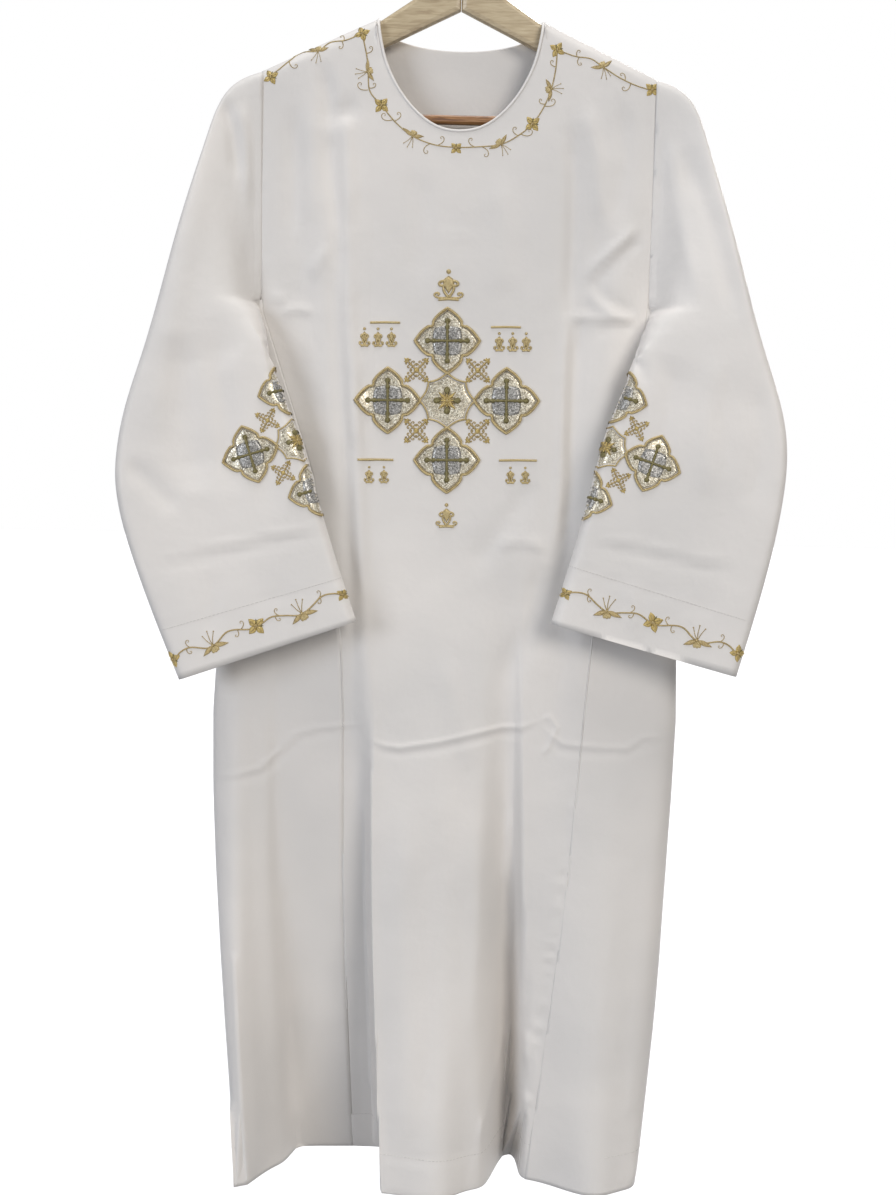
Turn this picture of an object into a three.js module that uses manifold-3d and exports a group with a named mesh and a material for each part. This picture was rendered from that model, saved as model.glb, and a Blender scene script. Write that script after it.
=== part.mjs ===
// A deacon's long tunic hanging on a wooden hanger.
// Millimetres. +Z is up, the viewer stands at -Y, +X is to the viewer's right.
// The origin is the inner top of the hook, where a rail holds it. A "drop" is a distance down from
// the neck points, where the shoulder seams meet the neck.

import * as THREE from "three";
import { mergeVertices } from "three/addons/utils/BufferGeometryUtils.js";
import Module from "manifold-3d";

const wasm = await Module();
wasm.setup();

// Cloth
const LENGTH = 1200; // neck point to hem
const NECK_POINT_Z = -124;
const CLOTH = 2; // wall thickness
const HALF_GAP = 0.2; // half of the gap left at each seam
const STEP = 0.01; // small step for slopes

// Neck and shoulders
const NECK_HALF = 84.5;
const NECK_FRONT = 109; // depth of the front neckline
const NECK_BACK = 28;
const SHOULDER_SLOPE = 0.463; // drop for each millimetre outwards
const ROLL = 12; // radius over which the cloth turns over the hanger
const BINDING_RADIUS = 1.2;
const BINDING_OFFSET = 1.7; // from the neck edge to the middle of the binding
const BINDING_SINK = 0.3; // of its middle, below the outside of the cloth

// Armholes and underarm
const ARM_HALF = 200; // half of the width across the shoulders
const GORE_TOP = 294; // just below the underarm
const NOSE = 3; // power that rounds the body's section

// Body section: half width, depth in front of and behind the hanger's plane
const BODY = [
  { drop: 0, half: 226, front: 15, back: 15 },
  { drop: 54, half: 224, front: 17, back: 18 },
  { drop: 180, half: 216, front: 21, back: 24 },
  { drop: 289, half: 208, front: 25, back: 29 },
  { drop: 420, half: 218, front: 30, back: 36 },
  { drop: 560, half: 232, front: 36, back: 44 },
  { drop: 676, half: 241, front: 40, back: 52 },
  { drop: 850, half: 238, front: 46, back: 60 },
  { drop: 1010, half: 229, front: 51, back: 68 },
  { drop: 1200, half: 214, front: 56, back: 74 },
];

// Where the gores are sewn to the front and back panels
const SEAMS = [
  { drop: 0, frontLeft: -200, frontRight: 200, backLeft: -200, backRight: 200 },
  { drop: 289, frontLeft: -198, frontRight: 198, backLeft: -198, backRight: 198 },
  { drop: 460, frontLeft: -140, frontRight: 165, backLeft: -180, backRight: 180 },
  { drop: 640, frontLeft: -105, frontRight: 145, backLeft: -165, backRight: 165 },
  { drop: 890, frontLeft: -104, frontRight: 128, backLeft: -150, backRight: 150 },
  { drop: 1200, frontLeft: -92, frontRight: 96, backLeft: -132, backRight: 132 },
];

// The hem's path round the body, and where each point of it starts higher up
const FOLD_START = 540;
const FOLD_GROWTH = 1.5;
const FRONT_FOLDS = [
  { fold: "left flap, outer", topX: -222, hemX: -206, y: -46 },
  { fold: "left flap, inner", topX: -200, hemX: -168, y: 8 },
  { fold: "left recess, outer", topX: -178, hemX: -150, y: 58 },
  { fold: "left recess, inner", topX: -98, hemX: -61, y: 60 },
  { fold: "middle fold, left edge", topX: -90, hemX: -56, y: -48 },
  { fold: "middle fold, crest", topX: -15, hemX: 0, y: -60 },
  { fold: "middle fold, right side", topX: 30, hemX: 45, y: -34 },
  { fold: "right recess", topX: 56, hemX: 80, y: 50 },
  { fold: "right recess, far side", topX: 62, hemX: 85, y: 46 },
  { fold: "right fold, left edge", topX: 76, hemX: 92, y: -10 },
  { fold: "right fold, crest", topX: 160, hemX: 168, y: -46 },
  { fold: "right fold, outer", topX: 222, hemX: 200, y: -30 },
];
const BACK_FOLDS = [
  { fold: "left side", topX: -222, hemX: -196, y: 56 },
  { fold: "left crest", topX: -150, hemX: -140, y: 100 },
  { fold: "left valley", topX: -90, hemX: -84, y: 80 },
  { fold: "middle crest", topX: -20, hemX: -24, y: 106 },
  { fold: "middle valley", topX: 40, hemX: 34, y: 82 },
  { fold: "right crest", topX: 96, hemX: 92, y: 104 },
  { fold: "right valley", topX: 150, hemX: 146, y: 74 },
  { fold: "right side", topX: 222, hemX: 196, y: 60 },
];

// Long soft drapes above the hem folds, on the front and on the back
const DRAPES = [
  { side: -1, x: -128, lean: 0.05, width: 22, proud: 5, from: 90, to: 900 },
  { side: -1, x: -165, lean: 0.04, width: 14, proud: -4, from: 70, to: 700 },
  { side: -1, x: 138, lean: -0.04, width: 18, proud: -5, from: 90, to: 760 },
  { side: -1, x: 170, lean: -0.05, width: 18, proud: 5, from: 80, to: 900 },
  { side: 1, x: -110, lean: 0.03, width: 24, proud: 6, from: 90, to: 900 },
  { side: 1, x: -20, lean: 0.01, width: 26, proud: -5, from: 160, to: 1000 },
  { side: 1, x: 96, lean: -0.03, width: 24, proud: 6, from: 100, to: 900 },
];

// Sleeves: from the armhole to the cuff, the outer and inner edges seen from the front,
// their places in depth and half of the thickness
const SLEEVE_LEFT = [
  { outX: 200.6, outDrop: 53.7, inX: 198.6, inDrop: 288, outY: 0, inY: 0, half: 13 },
  { outX: 238, outDrop: 72.5, inX: 209.5, inDrop: 296, outY: -2, inY: -15, half: 15 },
  { outX: 258, outDrop: 140, inX: 206.5, inDrop: 318, outY: -16, inY: -27, half: 15 },
  { outX: 281, outDrop: 225, inX: 199, inDrop: 340, outY: -34, inY: -39, half: 15 },
  { outX: 303, outDrop: 320, inX: 179, inDrop: 354, outY: -46, inY: -46, half: 14 },
  { outX: 325, outDrop: 390, inX: 165, inDrop: 390, outY: -50, inY: -50, half: 13 },
  { outX: 334, outDrop: 440, inX: 150, inDrop: 425, outY: -53, inY: -53, half: 13 },
  { outX: 333, outDrop: 492, inX: 134, inDrop: 476, outY: -56, inY: -56, half: 12 },
  { outX: 306, outDrop: 575, inX: 113, inDrop: 541, outY: -60, inY: -60, half: 11 },
  { outX: 267.5, outDrop: 667, inX: 90.5, inDrop: 604, outY: -65, inY: -65, half: 11 },
];
const SLEEVE_RIGHT = [
  { outX: 200.6, outDrop: 53.7, inX: 198.6, inDrop: 288, outY: 0, inY: 0, half: 13 },
  { outX: 236, outDrop: 70, inX: 209.5, inDrop: 296, outY: -2, inY: -15, half: 15 },
  { outX: 256, outDrop: 135, inX: 206.5, inDrop: 317, outY: -16, inY: -27, half: 15 },
  { outX: 279, outDrop: 215, inX: 198, inDrop: 337, outY: -34, inY: -39, half: 15 },
  { outX: 302, outDrop: 305, inX: 178, inDrop: 350, outY: -46, inY: -46, half: 14 },
  { outX: 325, outDrop: 372, inX: 163, inDrop: 386, outY: -50, inY: -50, half: 13 },
  { outX: 334, outDrop: 415, inX: 150, inDrop: 420, outY: -53, inY: -53, half: 13 },
  { outX: 333.5, outDrop: 465, inX: 139, inDrop: 470, outY: -56, inY: -56, half: 12 },
  { outX: 318, outDrop: 550, inX: 122, inDrop: 536, outY: -60, inY: -60, half: 11 },
  { outX: 290, outDrop: 651.5, inX: 102.5, inDrop: 602, outY: -65, inY: -65, half: 11 },
];
const SLEEVE_ROUND = 12; // how far the sleeve's edges turn round, seen from the front
const SLEEVE_RINGS = 15;
const SLEEVE_FLATS = 5; // steps across the flat of a sleeve
const NOSE_STEPS = 3; // steps round each edge of a sleeve

// Applique: four lobed diamonds round a scalloped medallion
const PATCH = 1.3; // thickness
const PATCH_GAP = 0.5;
const SLEEVE_PATCH_GAP = 0.8;
const CHEST_DIAMOND = 32; // middle to corner
const SLEEVE_DIAMOND = 30;
const MEDALLION_RADIUS = 20;
const PITCH = 60; // medallion to diamond, middle to middle
const CHEST = { x: -6, drop: 384 };

// The same cross on each sleeve, half of it round the inner edge: places seen from the front
const SLEEVE_CROSS = { x: 152, drop: 425, tilt: 18, middleY: -53, reach: 40 };
const SLEEVE_PATCHES = [
  { name: "medallion", across: 0, along: 0, from: -1, to: 1 },
  { name: "diamond_upper", across: 0, along: -60, from: -1, to: 1 },
  { name: "diamond_lower", across: 0, along: 60, from: -1, to: 1 },
  { name: "diamond_front", across: 50, along: 0, from: -1, to: 0 },
  { name: "diamond_rear", across: 50, along: 0, from: 0, to: 1 },
];

// Hanger
const ARM_THICK = 12;
const ARM_ROUND = 5;
const ARM_REST = 2.7; // the arms' top lies this far below the outside of the cloth
const ARM_END = 222;
const ARM_TOP = 46; // over the neck points, at the middle
const ARM_UNDER = 10;
const BAR_DROP = 97.5;
const BAR_RADIUS = 5;
const BAR_SEAT = 196; // where the arms' ends hold the bar
const HOOK_WIRE = 2; // radius
const HOOK_RADIUS = 20;
const HOOK_SWEEP = 285; // degrees
const HOOK_STEPS = 30;

const CLOTH_MATERIAL = new THREE.MeshStandardMaterial({ color: 0xf1eeea, roughness: 0.85, metalness: 0 });
const BINDING_MATERIAL = new THREE.MeshStandardMaterial({ color: 0xf7f5f2, roughness: 0.6, metalness: 0 });
const PATCH_MATERIAL = new THREE.MeshStandardMaterial({ color: 0xa9a893, roughness: 0.5, metalness: 0.3 });
const WOOD_MATERIAL = new THREE.MeshStandardMaterial({ color: 0xc9b08c, roughness: 0.5, metalness: 0 });
const STEEL_MATERIAL = new THREE.MeshStandardMaterial({ color: 0xb9bcc0, roughness: 0.3, metalness: 1 });

const radians = THREE.MathUtils.degToRad;
const mix = THREE.MathUtils.lerp;
const ease = (t) => THREE.MathUtils.smoothstep(t, 0, 1);
const turn = (t) => Math.sqrt(Math.max(0, 1 - (1 - THREE.MathUtils.clamp(t, 0, 1)) ** 2));

// ---- Tables read as smooth curves ----

// A cubic through three neighbouring rows' slopes, at a share t between rows i and i + 1.
function curve(rows, key, column, i, t) {
  const last = rows.length - 1;
  const before = rows[Math.max(i - 1, 0)];
  const here = rows[i];
  const next = rows[Math.min(i + 1, last)];
  const after = rows[Math.min(i + 2, last)];
  const span = next[key] - here[key];
  const slopeHere = ((next[column] - before[column]) / (next[key] - before[key])) * span;
  const slopeNext = ((after[column] - here[column]) / (after[key] - here[key])) * span;
  const bend = t * t * (3 - 2 * t);
  const rise = t * (1 - t) * ((1 - t) * slopeHere - t * slopeNext);
  return mix(here[column], next[column], bend) + rise;
}

function atDrop(rows, column, drop) {
  const last = rows.length - 1;
  const inside = THREE.MathUtils.clamp(drop, rows[0].drop, rows[last].drop);
  const above = rows.findLastIndex((row) => row.drop <= inside);
  const i = Math.min(above, last - 1);
  const t = (inside - rows[i].drop) / (rows[i + 1].drop - rows[i].drop);
  return curve(rows, "drop", column, i, t);
}

// A straight line between rows.
function straightAt(rows, column, drop) {
  const last = rows.length - 1;
  const i = Math.min(rows.findLastIndex((row) => row.drop <= drop), last - 1);
  const t = (drop - rows[i].drop) / (rows[i + 1].drop - rows[i].drop);
  return mix(rows[i][column], rows[i + 1][column], Math.min(t, 1));
}

// ---- The body's surface ----

const shoulderDrop = (x) => Math.max(0, Math.abs(x) - NECK_HALF) * SHOULDER_SLOPE;

// The hem's path at x, with the outermost points turned round to meet the other side.
function foldDepth(folds, x, drop, half) {
  const share = THREE.MathUtils.clamp((drop - FOLD_START) / (LENGTH - FOLD_START), 0, 1);
  const places = folds.map((row) => mix(row.topX, row.hemX, share));
  const last = folds.length - 1;
  if (x <= places[0]) return folds[0].y * turn((x + half) / (places[0] + half));
  if (x >= places[last]) return folds[last].y * turn((half - x) / (half - places[last]));
  const i = places.findLastIndex((place) => place <= x);
  const t = (x - places[i]) / (places[i + 1] - places[i]);
  return mix(folds[i].y, folds[i + 1].y, ease(t));
}

function drapeDepth(side, x, drop) {
  return DRAPES.filter((row) => row.side === side).reduce((sum, row) => {
    const away = (x - row.x - row.lean * (drop - row.from)) / row.width;
    const fade = ease((drop - row.from) / 120) * ease((row.to - drop) / 300);
    return sum + row.proud * fade * Math.exp(-away * away);
  }, 0);
}

// A point of the body's outside: angle 0 is the middle of the front, 90 degrees the right side.
function bodyPoint(angle, drop) {
  const side = Math.cos(angle) >= 0 ? -1 : 1;
  const half = atDrop(BODY, "half", drop);
  const x = half * Math.sin(angle);
  const across = Math.min(Math.abs(x) / half, 1);
  const round = Math.pow(1 - across ** NOSE, 1 / NOSE);
  const drape = drapeDepth(side, x, drop) * (1 - across ** 6);
  const plain = side * (atDrop(BODY, side < 0 ? "front" : "back", drop) * round + drape);
  const growth = THREE.MathUtils.clamp((drop - FOLD_START) / (LENGTH - FOLD_START), 0, 1) ** FOLD_GROWTH;
  const folded = foldDepth(side < 0 ? FRONT_FOLDS : BACK_FOLDS, x, drop, half);
  const y = mix(plain, folded, growth) * turn((drop - shoulderDrop(x)) / ROLL);
  return new THREE.Vector3(x, y, NECK_POINT_Z - drop);
}

// The same point with the directions of the surface there.
function bodySpot(angle, drop) {
  const point = bodyPoint(angle, drop);
  const beside = (turned) => {
    const x = atDrop(BODY, "half", drop) * Math.sin(turned);
    return bodyPoint(turned, drop + shoulderDrop(x) - shoulderDrop(point.x));
  };
  const along = beside(angle + STEP / 10).sub(beside(angle - STEP / 10)).normalize();
  const down = bodyPoint(angle, drop + STEP).sub(point).normalize();
  const normal = down.cross(along).normalize();
  return { point, along, normal };
}

const angleOf = (x, side, drop) => {
  const lean = Math.asin(THREE.MathUtils.clamp(x / atDrop(BODY, "half", drop), -1, 1));
  return side < 0 ? lean : Math.PI - lean;
};

// ---- Solids from grids ----

// A closed mesh from lists of corner points: rows of a grid, closed round one or both ways.
function meshOf(points, faces) {
  const geometry = new THREE.BufferGeometry();
  geometry.setAttribute("position", new THREE.Float32BufferAttribute(points.flatMap((p) => p.toArray()), 3));
  geometry.setIndex(faces);
  geometry.computeVertexNormals();
  return geometry;
}

// Two triangles between four corners, in order round the face.
const quad = (a, b, c, d) => [a, b, c, a, c, d];

// A wall of even thickness over a grid of spots, each with a point and an outward normal.
// closed joins the last column to the first.
function wall(grid, thickness, closed = false) {
  const rows = grid.length;
  const columns = grid[0].length;
  const outer = grid.flat().map((spot) => spot.point);
  const inner = grid.flat().map((spot) => spot.point.clone().addScaledVector(spot.normal, -thickness));
  const inside = outer.length;
  const at = (r, c) => r * columns + (c % columns);
  const faces = [];
  for (let r = 0; r < rows - 1; r++) {
    for (let c = 0; c < (closed ? columns : columns - 1); c++) {
      const [a, b, d, e] = [at(r, c), at(r + 1, c), at(r + 1, c + 1), at(r, c + 1)];
      faces.push(...quad(a, b, d, e), ...quad(inside + e, inside + d, inside + b, inside + a));
    }
  }
  for (let c = 0; c < (closed ? columns : columns - 1); c++) {
    const [a, b] = [at(0, c), at(0, c + 1)];
    const [d, e] = [at(rows - 1, c), at(rows - 1, c + 1)];
    faces.push(...quad(a, b, inside + b, inside + a), ...quad(e, d, inside + d, inside + e));
  }
  if (!closed) {
    for (let r = 0; r < rows - 1; r++) {
      const [a, b] = [at(r, 0), at(r + 1, 0)];
      const [d, e] = [at(r, columns - 1), at(r + 1, columns - 1)];
      faces.push(...quad(b, a, inside + a, inside + b), ...quad(d, e, inside + e, inside + d));
    }
  }
  return meshOf([...outer, ...inner], faces);
}

// A ring of even section round a closed path of spots.
function ringRound(path, radius, sides) {
  const points = [];
  path.forEach((spot, i) => {
    const before = path[(i + path.length - 1) % path.length].point;
    const after = path[(i + 1) % path.length].point;
    const ahead = after.clone().sub(before).normalize();
    const up = spot.normal.clone().addScaledVector(ahead, -spot.normal.dot(ahead)).normalize();
    const sideways = ahead.clone().cross(up);
    for (let k = 0; k < sides; k++) {
      const around = radians((360 * k) / sides);
      const place = spot.point.clone();
      place.addScaledVector(up, radius * Math.cos(around));
      place.addScaledVector(sideways, radius * Math.sin(around));
      points.push(place);
    }
  });
  const faces = [];
  for (let i = 0; i < path.length; i++) {
    const next = (i + 1) % path.length;
    for (let k = 0; k < sides; k++) {
      const m = (k + 1) % sides;
      faces.push(...quad(i * sides + k, i * sides + m, next * sides + m, next * sides + k));
    }
  }
  return meshOf(points, faces);
}

// ---- Panels ----

// Angles along a neckline, closer together where it rolls over the shoulder.
function neckAngles(depth) {
  const even = [0, 10, 20, 30, 40, 50, 60, 70, 80].map(radians);
  const turning = Math.acos(ROLL / depth);
  const rolling = [ROLL, 5, 1.5, 0].map((drop) => Math.acos(drop / depth));
  const half = [...even.filter((angle) => angle < turning - radians(4)), ...rolling];
  return [...half.slice(1).map((angle) => -angle).reverse(), ...half];
}

// Columns of a panel at its top: the shoulder, the neckline and the other shoulder.
function topColumns(neckDepth) {
  const shoulderSteps = 8;
  const shoulder = [];
  for (let i = 1; i <= shoulderSteps; i++) {
    const x = mix(NECK_HALF, ARM_HALF, i / shoulderSteps);
    shoulder.push({ x, drop: shoulderDrop(x) });
  }
  const neck = neckAngles(neckDepth).map((angle) => {
    return { x: NECK_HALF * Math.sin(angle), drop: neckDepth * Math.cos(angle) };
  });
  return [...shoulder.map(({ x, drop }) => ({ x: -x, drop })).reverse(), ...neck, ...shoulder];
}

// Shares of the way between two angles at the hem, at even lengths of cloth.
function evenShares(from, to, count) {
  const fine = 400;
  const lengths = [0];
  for (let i = 1; i <= fine; i++) {
    const a = bodyPoint(mix(from, to, (i - 1) / fine), LENGTH);
    const b = bodyPoint(mix(from, to, i / fine), LENGTH);
    lengths.push(lengths[i - 1] + a.distanceTo(b));
  }
  const shares = [];
  for (let k = 0; k <= count; k++) {
    const target = (lengths[fine] * k) / count;
    const i = Math.min(lengths.findLastIndex((length) => length <= target), fine - 1);
    shares.push((i + (target - lengths[i]) / (lengths[i + 1] - lengths[i])) / fine);
  }
  return shares;
}

const LOWER_ROWS = 11;
const levels = Array.from({ length: LOWER_ROWS + 1 }, (_, i) => mix(GORE_TOP, LENGTH, i / LOWER_ROWS));

// The drops of a column that starts at the given drop, the lower ones shared by every panel.
function columnDrops(top) {
  const upper = [0, 1, 4, 10, 20].map((down) => top + down);
  const middle = [0.35, 0.7].map((share) => mix(top + 20, GORE_TOP, share));
  return [...upper, ...middle, ...levels];
}

// Moves the spots of a seam's edge back from it, into their own panel.
function clearOfSeam(spot, direction) {
  spot.point.addScaledVector(spot.along, HALF_GAP * direction);
  return spot;
}

function bodyPanel(side, neckDepth, leftSeam, rightSeam) {
  const columns = topColumns(neckDepth);
  const last = columns.length - 1;
  const hemAngle = (seam) => angleOf(straightAt(SEAMS, seam, LENGTH), side, LENGTH);
  const [from, to] = [hemAngle(leftSeam), hemAngle(rightSeam)];
  const hemShares = evenShares(from, to, last);
  const hemEnds = [leftSeam, rightSeam].map((seam) => Math.abs(straightAt(SEAMS, seam, LENGTH)));
  const grid = columns.map((column, i) => {
    const hemX = atDrop(BODY, "half", LENGTH) * Math.sin(mix(from, to, hemShares[i]));
    const hemPlace = hemX / (hemX < 0 ? hemEnds[0] : hemEnds[1]);
    const topPlace = column.x / ARM_HALF;
    return columnDrops(column.drop).map((drop) => {
      const settled = ease((drop - 150) / (LENGTH - 150));
      const place = mix(topPlace, hemPlace, settled);
      const x = Math.abs(place) * straightAt(SEAMS, place < 0 ? leftSeam : rightSeam, drop);
      const spot = bodySpot(angleOf(x, side, drop), drop);
      if (i === 0) clearOfSeam(spot, side < 0 ? 1 : -1);
      if (i === last) clearOfSeam(spot, side < 0 ? -1 : 1);
      if (drop === column.drop) spot.point.y += side * HALF_GAP;
      return spot;
    });
  });
  if (side > 0) grid.reverse();
  return wall(transpose(grid), CLOTH);
}

const transpose = (grid) => grid[0].map((_, r) => grid.map((column) => column[r]));

function gore(frontSeam, backSeam, hand) {
  const count = 18;
  const ends = (drop) => {
    const front = angleOf(straightAt(SEAMS, frontSeam, drop), -1, drop);
    const back = angleOf(straightAt(SEAMS, backSeam, drop), 1, drop);
    return [front, hand > 0 ? back : back - 2 * Math.PI];
  };
  const shares = evenShares(...ends(LENGTH), count);
  const grid = shares.map((share, i) => {
    return levels.map((drop) => {
      const spot = bodySpot(mix(...ends(drop), share), drop);
      if (i === 0) clearOfSeam(spot, hand);
      if (i === count) clearOfSeam(spot, -hand);
      return spot;
    });
  });
  if (hand < 0) grid.reverse();
  return wall(transpose(grid), CLOTH);
}

function neckBinding() {
  const loop = [];
  for (const [side, depth] of [[-1, NECK_FRONT], [1, NECK_BACK]]) {
    const angles = neckAngles(depth);
    if (side > 0) angles.reverse();
    for (const angle of angles.slice(1)) {
      const x = (NECK_HALF - BINDING_OFFSET) * Math.sin(angle);
      const drop = (depth - BINDING_OFFSET) * Math.cos(angle);
      const spot = bodySpot(angleOf(x, side, drop), drop);
      spot.point.addScaledVector(spot.normal, -BINDING_SINK);
      loop.push(spot);
    }
  }
  return ringRound(loop, BINDING_RADIUS, 6);
}

// ---- Sleeves ----

// A point of a sleeve: v runs from the armhole (0) to the cuff (1), in is the distance from the
// sleeve's inner edge, and side is -1 for the front and 1 for the rear.
function sleevePoint(table, hand, v, inward, side) {
  const rows = table.map((row, index) => ({ ...row, index }));
  const place = THREE.MathUtils.clamp(v, 0, 1) * (rows.length - 1);
  const i = Math.min(Math.floor(place), rows.length - 2);
  const value = (column) => curve(rows, "index", column, i, place - i);
  const [outX, outDrop, outY] = ["outX", "outDrop", "outY"].map(value);
  const [inX, inDrop, inY] = ["inX", "inDrop", "inY"].map(value);
  const width = Math.hypot(outX - inX, outDrop - inDrop);
  const share = THREE.MathUtils.clamp(inward / width, 0, 1);
  const edge = Math.min(share, 1 - share) * width;
  const y = mix(inY, outY, share) + side * value("half") * turn(edge / SLEEVE_ROUND);
  return new THREE.Vector3(hand * mix(inX, outX, share), y, NECK_POINT_Z - mix(inDrop, outDrop, share));
}

function sleeveWidth(table, v) {
  const outer = sleevePoint(table, 1, v, Infinity, 1);
  const inner = sleevePoint(table, 1, v, 0, 1);
  return Math.hypot(outer.x - inner.x, outer.z - inner.z);
}

// Distances from the inner edge for the points of one side, closer together at the edges.
function sleeveSteps(width) {
  const nose = Array.from({ length: NOSE_STEPS }, (_, i) => {
    return SLEEVE_ROUND * (1 - Math.cos(radians((90 * i) / NOSE_STEPS)));
  });
  const flat = Array.from({ length: SLEEVE_FLATS + 1 }, (_, i) => {
    return mix(SLEEVE_ROUND, width - SLEEVE_ROUND, i / SLEEVE_FLATS);
  });
  return [...nose, ...flat, ...nose.map((step) => width - step).reverse()];
}

// Adds outward normals to a grid of points that is closed across.
function withNormals(grid, flip) {
  const rows = grid.length;
  const columns = grid[0].length;
  return grid.map((line, r) => line.map((point, c) => {
    const down = grid[Math.min(r + 1, rows - 1)][c].clone().sub(grid[Math.max(r - 1, 0)][c]);
    const round = line[(c + 1) % columns].clone().sub(line[(c + columns - 1) % columns]);
    return { point, normal: down.cross(round).multiplyScalar(flip).normalize() };
  }));
}

function sleeveGrid(table, hand) {
  const grid = [];
  for (let ring = 0; ring <= SLEEVE_RINGS; ring++) {
    const v = ring / SLEEVE_RINGS;
    const steps = sleeveSteps(sleeveWidth(table, v));
    const front = steps.map((step) => sleevePoint(table, hand, v, step, -1));
    const rear = steps.slice(1, -1).map((step) => sleevePoint(table, hand, v, step, 1)).reverse();
    grid.push(hand > 0 ? [...front, ...rear] : [...front, ...rear].reverse());
  }
  return withNormals(grid, 1);
}

// ---- Applique ----

// A diamond with a step half way along each side, as points (across, along).
function diamondOutline(half) {
  const side = [
    { out: 1, turned: 0 },
    { out: 0.82, turned: 28 },
    { out: 0.7, turned: 45 },
    { out: 0.82, turned: 62 },
  ];
  return [0, 90, 180, 270].flatMap((corner) => side.map(({ out, turned }) => {
    const angle = radians(corner + turned);
    return [half * out * Math.cos(angle), half * out * Math.sin(angle)];
  }));
}

// A round patch with eight scallops.
function medallionOutline() {
  return Array.from({ length: 16 }, (_, i) => {
    const angle = radians(22.5 * i);
    const radius = MEDALLION_RADIUS * (i % 2 === 0 ? 0.88 : 1);
    return [radius * Math.cos(angle), radius * Math.sin(angle)];
  });
}

// A patch on a surface: rings of its outline, from the middle out, once near it and once raised.
function patch(outline, rings, gap, spotAt) {
  const shares = Array.from({ length: rings }, (_, i) => (i + 1) / rings);
  const flat = [[0, 0], ...shares.flatMap((share) => outline.map(([u, v]) => [u * share, v * share]))];
  const spots = flat.map(([u, v]) => spotAt(u, v));
  const raised = (height) => spots.map(({ point, normal }) => point.clone().addScaledVector(normal, height));
  const points = [...raised(gap + PATCH), ...raised(gap)];
  const under = spots.length;
  const sides = outline.length;
  const at = (ring, k) => 1 + ring * sides + (k % sides);
  const faces = [];
  const both = (a, b, c) => faces.push(a, b, c, under + c, under + b, under + a);
  for (let k = 0; k < sides; k++) {
    both(0, at(0, k), at(0, k + 1));
    for (let ring = 1; ring < rings; ring++) {
      both(at(ring - 1, k), at(ring, k), at(ring, k + 1));
      both(at(ring - 1, k), at(ring, k + 1), at(ring - 1, k + 1));
    }
    const [a, b] = [at(rings - 1, k), at(rings - 1, k + 1)];
    faces.push(...quad(a, under + a, under + b, b));
  }
  return meshOf(points, faces);
}

function chestPatch(outline, across, along) {
  return patch([...outline].reverse(), 1, PATCH_GAP, (u, v) => {
    const x = CHEST.x + across * PITCH + u;
    const drop = CHEST.drop + along * PITCH + v;
    return bodySpot(angleOf(x, -1, drop), drop);
  });
}

function solidOf(geometry) {
  const bare = new THREE.BufferGeometry().setAttribute("position", geometry.getAttribute("position"));
  bare.setIndex(geometry.index);
  const merged = mergeVertices(bare, 1e-3);
  const vertProperties = merged.attributes.position.array;
  const triVerts = new Uint32Array(merged.index.array);
  return new wasm.Manifold(new wasm.Mesh({ numProp: 3, vertProperties, triVerts }));
}

function geometryOf(solid) {
  const { numProp, vertProperties, triVerts } = solid.getMesh();
  const geometry = new THREE.BufferGeometry();
  geometry.setAttribute("position", new THREE.BufferAttribute(new Float32Array(vertProperties), numProp));
  geometry.setIndex(new THREE.BufferAttribute(new Uint32Array(triVerts), 1));
  return geometry;
}

// A shell just outside a sleeve, from the sleeve's own points moved out.
function patchShell(grid) {
  const out = (spot) => spot.point.clone().addScaledVector(spot.normal, SLEEVE_PATCH_GAP + PATCH);
  return solidOf(wall(grid.map((line) => line.map((spot) => ({ ...spot, point: out(spot) }))), PATCH, true));
}

// The part of a sleeve's shell inside an outline seen from the front.
function sleevePatch(shell, hand, outline, { across, along, from, to }) {
  const tilt = radians(SLEEVE_CROSS.tilt);
  const x = SLEEVE_CROSS.x + across * Math.cos(tilt) - along * Math.sin(tilt);
  const drop = SLEEVE_CROSS.drop + across * Math.sin(tilt) + along * Math.cos(tilt);
  const shape = new THREE.Shape(outline.map(([u, v]) => new THREE.Vector2(u, v)));
  const depth = (to - from) * SLEEVE_CROSS.reach;
  const cutter = new THREE.ExtrudeGeometry(shape, { depth, bevelEnabled: false });
  cutter.rotateZ(-hand * tilt);
  cutter.rotateX(Math.PI / 2);
  cutter.translate(hand * x, SLEEVE_CROSS.middleY + to * SLEEVE_CROSS.reach, NECK_POINT_Z - drop);
  return geometryOf(shell.intersect(solidOf(cutter)));
}

// ---- Hanger ----

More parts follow.
